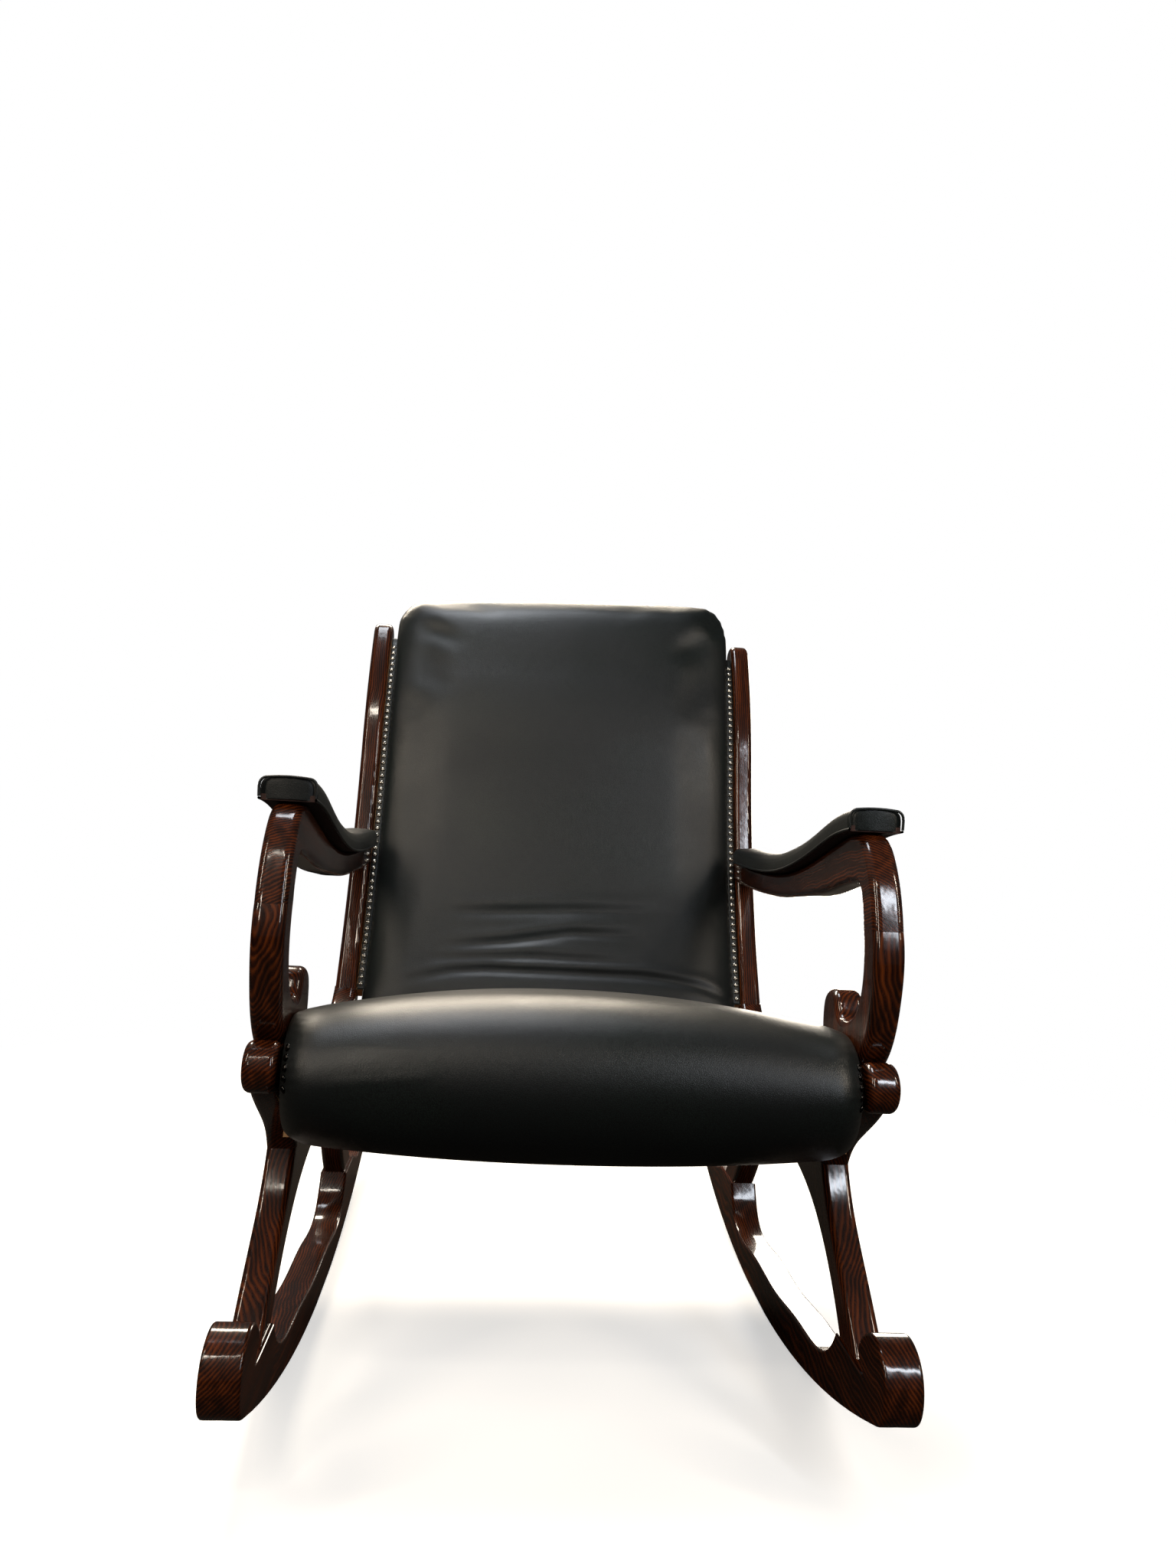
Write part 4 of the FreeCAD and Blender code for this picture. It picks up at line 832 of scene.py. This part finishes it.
def back_outer(x, inset=BACK_SWELL):
    """Front of the back, over the crest, and down to the rear top edge of its frame."""
    drop = corner_drop(x, BACK_HALF, BACK_CORNER)
    swell = BACK_BULGE + 0.003 * (1.0 - (x / BACK_HALF) ** 2)
    bulge = (swell + MEMBER_SET_BACK) * (1.0 - drop / BACK_CORNER) - MEMBER_SET_BACK - inset
    radius = CREST_RADIUS - inset - 0.75 * drop
    centre = (CREST[0] + 0.1 * drop, CREST[1] - 0.35 * drop + float(np.interp(x, CREST_AT, CREST_LIFT)))
    places = [low_point(base_share + (1.0 - base_share) * k / 74, -bulge) for k in range(74)]
    places += [top_point(SHOULDER * k / 28, -bulge) for k in range(28)]
    front_top, below = top_point(SHOULDER, -bulge), top_point(SHOULDER - 0.01, -bulge)
    crest_top = ring_point(centre, radius, 90)
    crest_rear = ring_point(centre, radius, -25)
    rear_top = top_point(MEMBER_SHARE, MEMBER_REAR - inset * 0.2)
    places += smooth_run(front_top, below, crest_top, 28)
    places += arc_points(crest_top, ring_point(centre, radius, 30), crest_rear, 20)
    places += line_points(crest_rear, rear_top, 8) + [rear_top]
    return places


def back_inner(x, inset=BACK_SWELL):
    """Hidden rear of the stuffing, on the webbing and up behind the crest rail."""
    depth = 0.0024
    places = [low_point(base_share + (1.0 - base_share) * k / 74, depth) for k in range(74)]
    places += [top_point(MEMBER_SHARE * k / 40, depth) for k in range(40)]
    start = top_point(MEMBER_SHARE, depth)
    return places + line_points(start, top_point(MEMBER_SHARE, MEMBER_REAR - 0.004), 44) + [
        top_point(MEMBER_SHARE, MEMBER_REAR - 0.004)]


back = padded_mesh("back_cushion", back_outer, back_inner, stations(BACK_HALF, BACK_CORNER, 72),
                   black_leather)
shape = coordinates(back.data)
front_y = np.interp(shape[:, 2], [low_point(k / 40, 0)[1] for k in range(-6, 41)]
                    + [top_point(k / 40, 0)[1] for k in range(1, 60)],
                    [low_point(k / 40, 0)[0] for k in range(-6, 41)]
                    + [top_point(k / 40, 0)[0] for k in range(1, 60)])
behind = np.clip((shape[:, 1] - front_y + 0.004) / 0.006, 0.0, 1.0) * (shape[:, 2] < 0.86)
side_part = np.clip((np.abs(shape[:, 0]) - (BACK_HALF - 0.006)) / 0.004, 0.0, 1.0)
rear_part = np.clip((shape[:, 1] - (CREST[0] + 0.02)) / 0.02, 0.0, 1.0) * (shape[:, 2] < 0.92)
base_part = np.clip((0.345 - shape[:, 2]) / 0.02, 0.0, 1.0)
inflate(back, np.max([behind, side_part, rear_part, base_part], axis=0), BACK_CAP, passes=8)

CREASES = [
    ([(-0.157, 0.456), (-0.072, 0.460), (0.023, 0.466), (0.167, 0.470)], 0.0028, 0.007),
    ([(-0.157, 0.409), (-0.070, 0.418), (0.024, 0.434), (0.127, 0.435)], 0.0034, 0.006),
    ([(-0.171, 0.391), (-0.030, 0.399), (0.126, 0.396)], 0.0030, 0.006),
    ([(-0.203, 0.363), (-0.144, 0.377), (-0.098, 0.381), (0.010, 0.381), (0.126, 0.380), (0.173, 0.376),
      (0.215, 0.369), (0.262, 0.352)], 0.0045, 0.005),
]
CORNER_PLEATS = [(14.0, 0.0030), (30.0, 0.0038), (47.0, 0.0034), (64.0, 0.0024)]
shape = coordinates(back.data)
out = normals(back.data)
facing = np.clip(-out[:, 1] * 2.0, 0.0, 1.0)
push = np.zeros(len(shape))
for route, depth, width in CREASES:
    signed, run = line_distance(shape[:, [0, 2]], route)
    fade = np.sin(math.pi * np.clip(run, 0.02, 0.98)) ** 0.6
    groove = np.exp(-(signed / width) ** 2)
    ridge = np.exp(-((signed - 1.9 * width) / (1.3 * width)) ** 2)
    push += fade * facing * depth * (0.55 * ridge - groove)
for side, sign in SIDES:
    corner = np.array([sign * (BACK_HALF - 0.05), CREST[1] - 0.012])
    offset = np.stack([sign * (shape[:, 0] - corner[0]), shape[:, 2] - corner[1]], 1)
    reach = np.hypot(offset[:, 0], offset[:, 1])
    angle = np.degrees(np.arctan2(offset[:, 1], offset[:, 0]))
    inside = np.clip((reach - 0.018) / 0.02, 0.0, 1.0) * (shape[:, 1] < CREST[0] + 0.02)
    strong = 1.0 if side == "right" else 0.45
    for at, depth in CORNER_PLEATS:
        across = np.radians(angle - at) * reach
        push += -strong * depth * inside * np.exp(-(across / 0.0035) ** 2) * (np.abs(angle - at) < 30.0)
set_coordinates(back.data, shape + out * push[:, None])
refine(back)
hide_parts("back_leather", "back_stuffing")

# Nailed edge of the back
# The leather's edge is folded under and laid flat on the side member, in a strip between the cushion and
# the stile. It dimples under each nail head.
STRIP_IN = 0.2655
STRIP_OUT = 0.2764
NAIL_PITCH = 0.0104
low_long = (low_to - low_from) * low_radius
top_long = abs(top_to - top_from) * top_radius * MEMBER_SHARE


def along_back(reach, depth):
    """Place at a distance up the S of the back, and at a depth behind the front of the stile."""
    if reach < low_long:
        return low_point(reach / low_long, depth)
    return top_point(MEMBER_SHARE * (reach - low_long) / top_long, depth)


def edge_strip(side, sign):
    steps = int((low_long + top_long) / (NAIL_PITCH / 4.0))
    across = 5

    def at(i, j, depth):
        reach = j * (low_long + top_long)
        x = STRIP_IN + i * (STRIP_OUT - STRIP_IN)
        pucker = 0.0005 * math.cos(2 * math.pi * (reach / NAIL_PITCH - 0.8)) * math.sin(math.pi * i)
        y, z = along_back(reach, MEMBER_SET_BACK - 0.0021 + pucker * 0.5 + depth)
        return (sign * x, y, z)

    strip = cloth_sheet("back_edge_" + side, at, across, steps, 0.0019, black_leather)
    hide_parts("back_leather")


for side, sign in SIDES:
    edge_strip(side, sign)

# Outside back
# A separate panel of leather covers the rear of the back frame. It is blind-tacked along the top and
# stretched, so it lies nearly flat and dips a little between the side members.
PANEL_LOW, PANEL_HIGH = 0.02, 0.89
PANEL_DIP = 0.004


def outside_at(i, j, depth):
    x = -SEAT_HALF + i * 2.0 * SEAT_HALF
    total = low_long * (1.0 - PANEL_LOW) + top_long * PANEL_HIGH / MEMBER_SHARE
    reach = PANEL_LOW * low_long + j * total
    dip = PANEL_DIP * math.sin(math.pi * i) ** 0.8 * math.sin(math.pi * j) ** 0.8
    hem = 0.0007 * (math.exp(-((min(i, 1 - i) * 2 * SEAT_HALF - 0.006) / 0.003) ** 2))
    y, z = along_back(reach, MEMBER_REAR + 0.0001 + depth - dip + hem)
    return (x, y, z)


outside = cloth_sheet("outside_back", outside_at, 61, 71, 0.0019, black_leather)
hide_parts("outside_back_leather")

# Nails
# Domed upholstery nails hold the leather along both sides of the back, with heads of nickelled steel, now
# a little dull. Those round the ends of the seat roll are coloured near black; their real finish is not
# known.
nickel = drawn_steel("nickelled_steel_nail", ("#8f897e", "#bcb6aa"), 0.24)
for side, sign in SIDES:
    finish_node("back_nails_" + side, nickel)

# Near-black heads for the nails round the roll ends, so they show only as small glints; their finish is not
# known.
near_black_nail_steel = drawn_steel("near_black_steel_nail", ("#1c1b1a", "#34322f"), 0.22)
NAIL_RADIUS = 0.0038
NAIL_RISE = 0.0022
ROLL_NAIL_ANGLES = (148.0, 157.0, 166.0, 175.0, 184.0)
ROLL_NAIL_INSET = 0.008


def dome_nail(points, faces, seat_at, way, turns=14):
    """Adds a domed nail head that sits on a place and faces a direction."""
    turn = way.to_track_quat("Z", "Y")
    first = len(points)
    profile = [(1.0, -0.25), (1.0, 0.12), (0.93, 0.42), (0.72, 0.75), (0.4, 0.94)]
    for radius, height in profile:
        for k in range(turns):
            angle = 2.0 * math.pi * k / turns
            spot = Vector((NAIL_RADIUS * radius * math.cos(angle), NAIL_RADIUS * radius * math.sin(angle),
                           NAIL_RISE * height))
            points.append(seat_at + turn @ spot)
    points.append(seat_at + turn @ Vector((0.0, 0.0, NAIL_RISE)))
    points.append(seat_at + turn @ Vector((0.0, 0.0, -0.25 * NAIL_RISE)))
    for ring in range(len(profile) - 1):
        for k in range(turns):
            a, b = first + ring * turns + k, first + ring * turns + (k + 1) % turns
            faces.append((a, b, b + turns, a + turns))
    last = first + (len(profile) - 1) * turns
    for k in range(turns):
        faces.append((last + k, last + (k + 1) % turns, len(points) - 2))
        faces.append((first + (k + 1) % turns, first + k, len(points) - 1))


def surface_tree(mesh):
    """The faces of a mesh, ready to be met by a ray."""
    return BVHTree.FromPolygons([v.co for v in mesh.vertices], [p.vertices for p in mesh.polygons])


for side, sign in SIDES:
    cover = surface_tree(seat.data)
    points, faces = [], []
    for degrees in ROLL_NAIL_ANGLES:
        angle = math.radians(degrees)
        away = Vector((0.0, math.cos(angle), math.sin(angle)))
        outside = Vector((sign * (SEAT_HALF - ROLL_NAIL_INSET), ROLL[0], ROLL[1])) + away * 0.2
        spot, way, face, far = cover.ray_cast(outside, -away)
        if spot is not None:
            dome_nail(points, faces, spot, way)
    heads = link_mesh("roll_nails_" + side, points, faces, near_black_nail_steel)
    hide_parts("seat_roll_nails_" + side)

# Arm pads
# Each pad is wadding on a thin board under black leather. The top is pulled over, the front end is boxed
# with its own panel, and a welt runs round that panel and along both lower edges.
PAD_HALF = 0.029
WELT = 0.0014


def pad_heights(side, middle, places):
    """Underside and top of the frame's own pad at places along it."""
    solid = surface_tree(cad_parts["arm_pad_" + side].data)
    heights = []
    for y in places:
        base = solid.ray_cast(Vector((middle, y, 0.3)), Vector((0, 0, 1)))[0]
        top = solid.ray_cast(Vector((middle, y, 1.2)), Vector((0, 0, -1)))[0]
        heights.append((base.z, top.z))
    return heights


def welt(name, route, material):
    """A round cord of leather along a closed or open route."""
    curve = bpy.data.curves.new(name, "CURVE")
    curve.dimensions = "3D"
    curve.bevel_depth = WELT
    curve.bevel_resolution = 3
    spline = curve.splines.new("POLY")
    spline.points.add(len(route) - 1)
    for point, spot in zip(spline.points, route):
        point.co = (*spot, 1.0)
    curve.materials.append(material)
    piece = bpy.data.objects.new(name, curve)
    bpy.context.scene.collection.objects.link(piece)
    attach(piece, BODY)
    return piece


PAD_WRAP = 0.0062
PAD_EDGE = 0.0026
PAD_ROUND = 0.0075
PAD_STEPS = 90
PAD_TAIL = 0.012
PAD_CAP = 0.0022
PAD_PRESSURE = 3.0


def pad_section(base, top, swell):
    """Section of a pad across the arm: outside over the top, then inside round the edges of the board."""
    half, low = PAD_HALF - 0.0012 + swell, base - PAD_WRAP
    places = [(-half + 0.0006, low), (-half, low + 0.003), (-half - 0.0002, base + 0.002),
              (-half - 0.0003, base + 0.007), (-half, top - PAD_ROUND - 0.002)]
    corner = (-half + PAD_ROUND, top - PAD_ROUND - 0.0012)
    for degrees in (170, 152, 134, 116, 100):
        places.append(ring_point(corner, PAD_ROUND, degrees))
    flat = half - PAD_ROUND
    for share in (-0.75, -0.45, -0.15):
        places.append((share * flat, top - 0.0012 * share ** 2))
    places += [(-x, z) for x, z in places[::-1]]
    inner = half - PAD_EDGE
    rim = [(inner, low), (inner, base - 0.0002), (inner * 0.5, base), (0.0, base)]
    return places + rim + [(-x, z) for x, z in rim[2::-1]]


def arm_pad(side):
    """One pad, swelled over its board, with its welts. The first places of a section are its leather."""
    shell = 26
    low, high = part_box("arm_pad_" + side)
    middle = (low[0] + high[0]) / 2.0
    start, end = low[1] + 0.0012, high[1] - 0.0012
    places = [start + (end - start) * j / (PAD_STEPS - 1) for j in range(PAD_STEPS)]
    heights = pad_heights(side, middle, places)
    points, faces = [], []
    for j, (y, (base, top)) in enumerate(zip(places, heights)):
        tail = math.sqrt(max(0.0, 1.0 - max(0.0, 1.0 - (end - y) / PAD_TAIL) ** 2))
        top = base + (top - base) * (0.72 + 0.28 * tail) - 0.0012
        section = pad_section(base, top, -0.0004 - 0.002 * (1.0 - tail))
        points += [(middle + x, y, z) for x, z in section]
    ring = len(points) // PAD_STEPS
    for j in range(PAD_STEPS - 1):
        for k in range(ring):
            a, b = j * ring + k, j * ring + (k + 1) % ring
            faces.append((a, b, b + ring, a + ring))
    for j in (0, PAD_STEPS - 1):
        for k in range(shell // 2 - 1):
            a, b = j * ring + k, j * ring + shell - 1 - k
            faces.append((a, a + 1, b - 1, b))
        faces.append(tuple(j * ring + k for k in [shell - 1] + list(range(shell, ring)) + [0]))
    pad = link_mesh("arm_pad_cover_" + side, points, faces, black_leather)
    face_out(pad)
    shape = coordinates(pad.data)
    base = np.interp(shape[:, 1], places, [h[0] for h in heights])
    held = np.clip(1.0 - (shape[:, 2] - base - 0.002) / 0.004, 0.0, 1.0)
    front = np.clip((start + 0.004 - shape[:, 1]) / 0.003, 0.0, 1.0)
    inflate(pad, np.maximum(held, front), PAD_CAP, PAD_PRESSURE)
    refine(pad)
    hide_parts("arm_pad_" + side)
    panel = [(x, start - 0.0004, z) for x, y, z in points[1:shell - 1]]
    welt("pad_front_welt_" + side, panel, black_leather)
    for edge, name in ((1.0, "outer"), (-1.0, "inner")):
        route = [(middle + edge * (PAD_HALF - 0.0016), y, base - PAD_WRAP + 0.0016)
                 for y, (base, top) in zip(places[:-1], heights)]
        welt(f"pad_{name}_welt_{side}", route, black_leather)


for side, sign in SIDES:
    arm_pad(side)
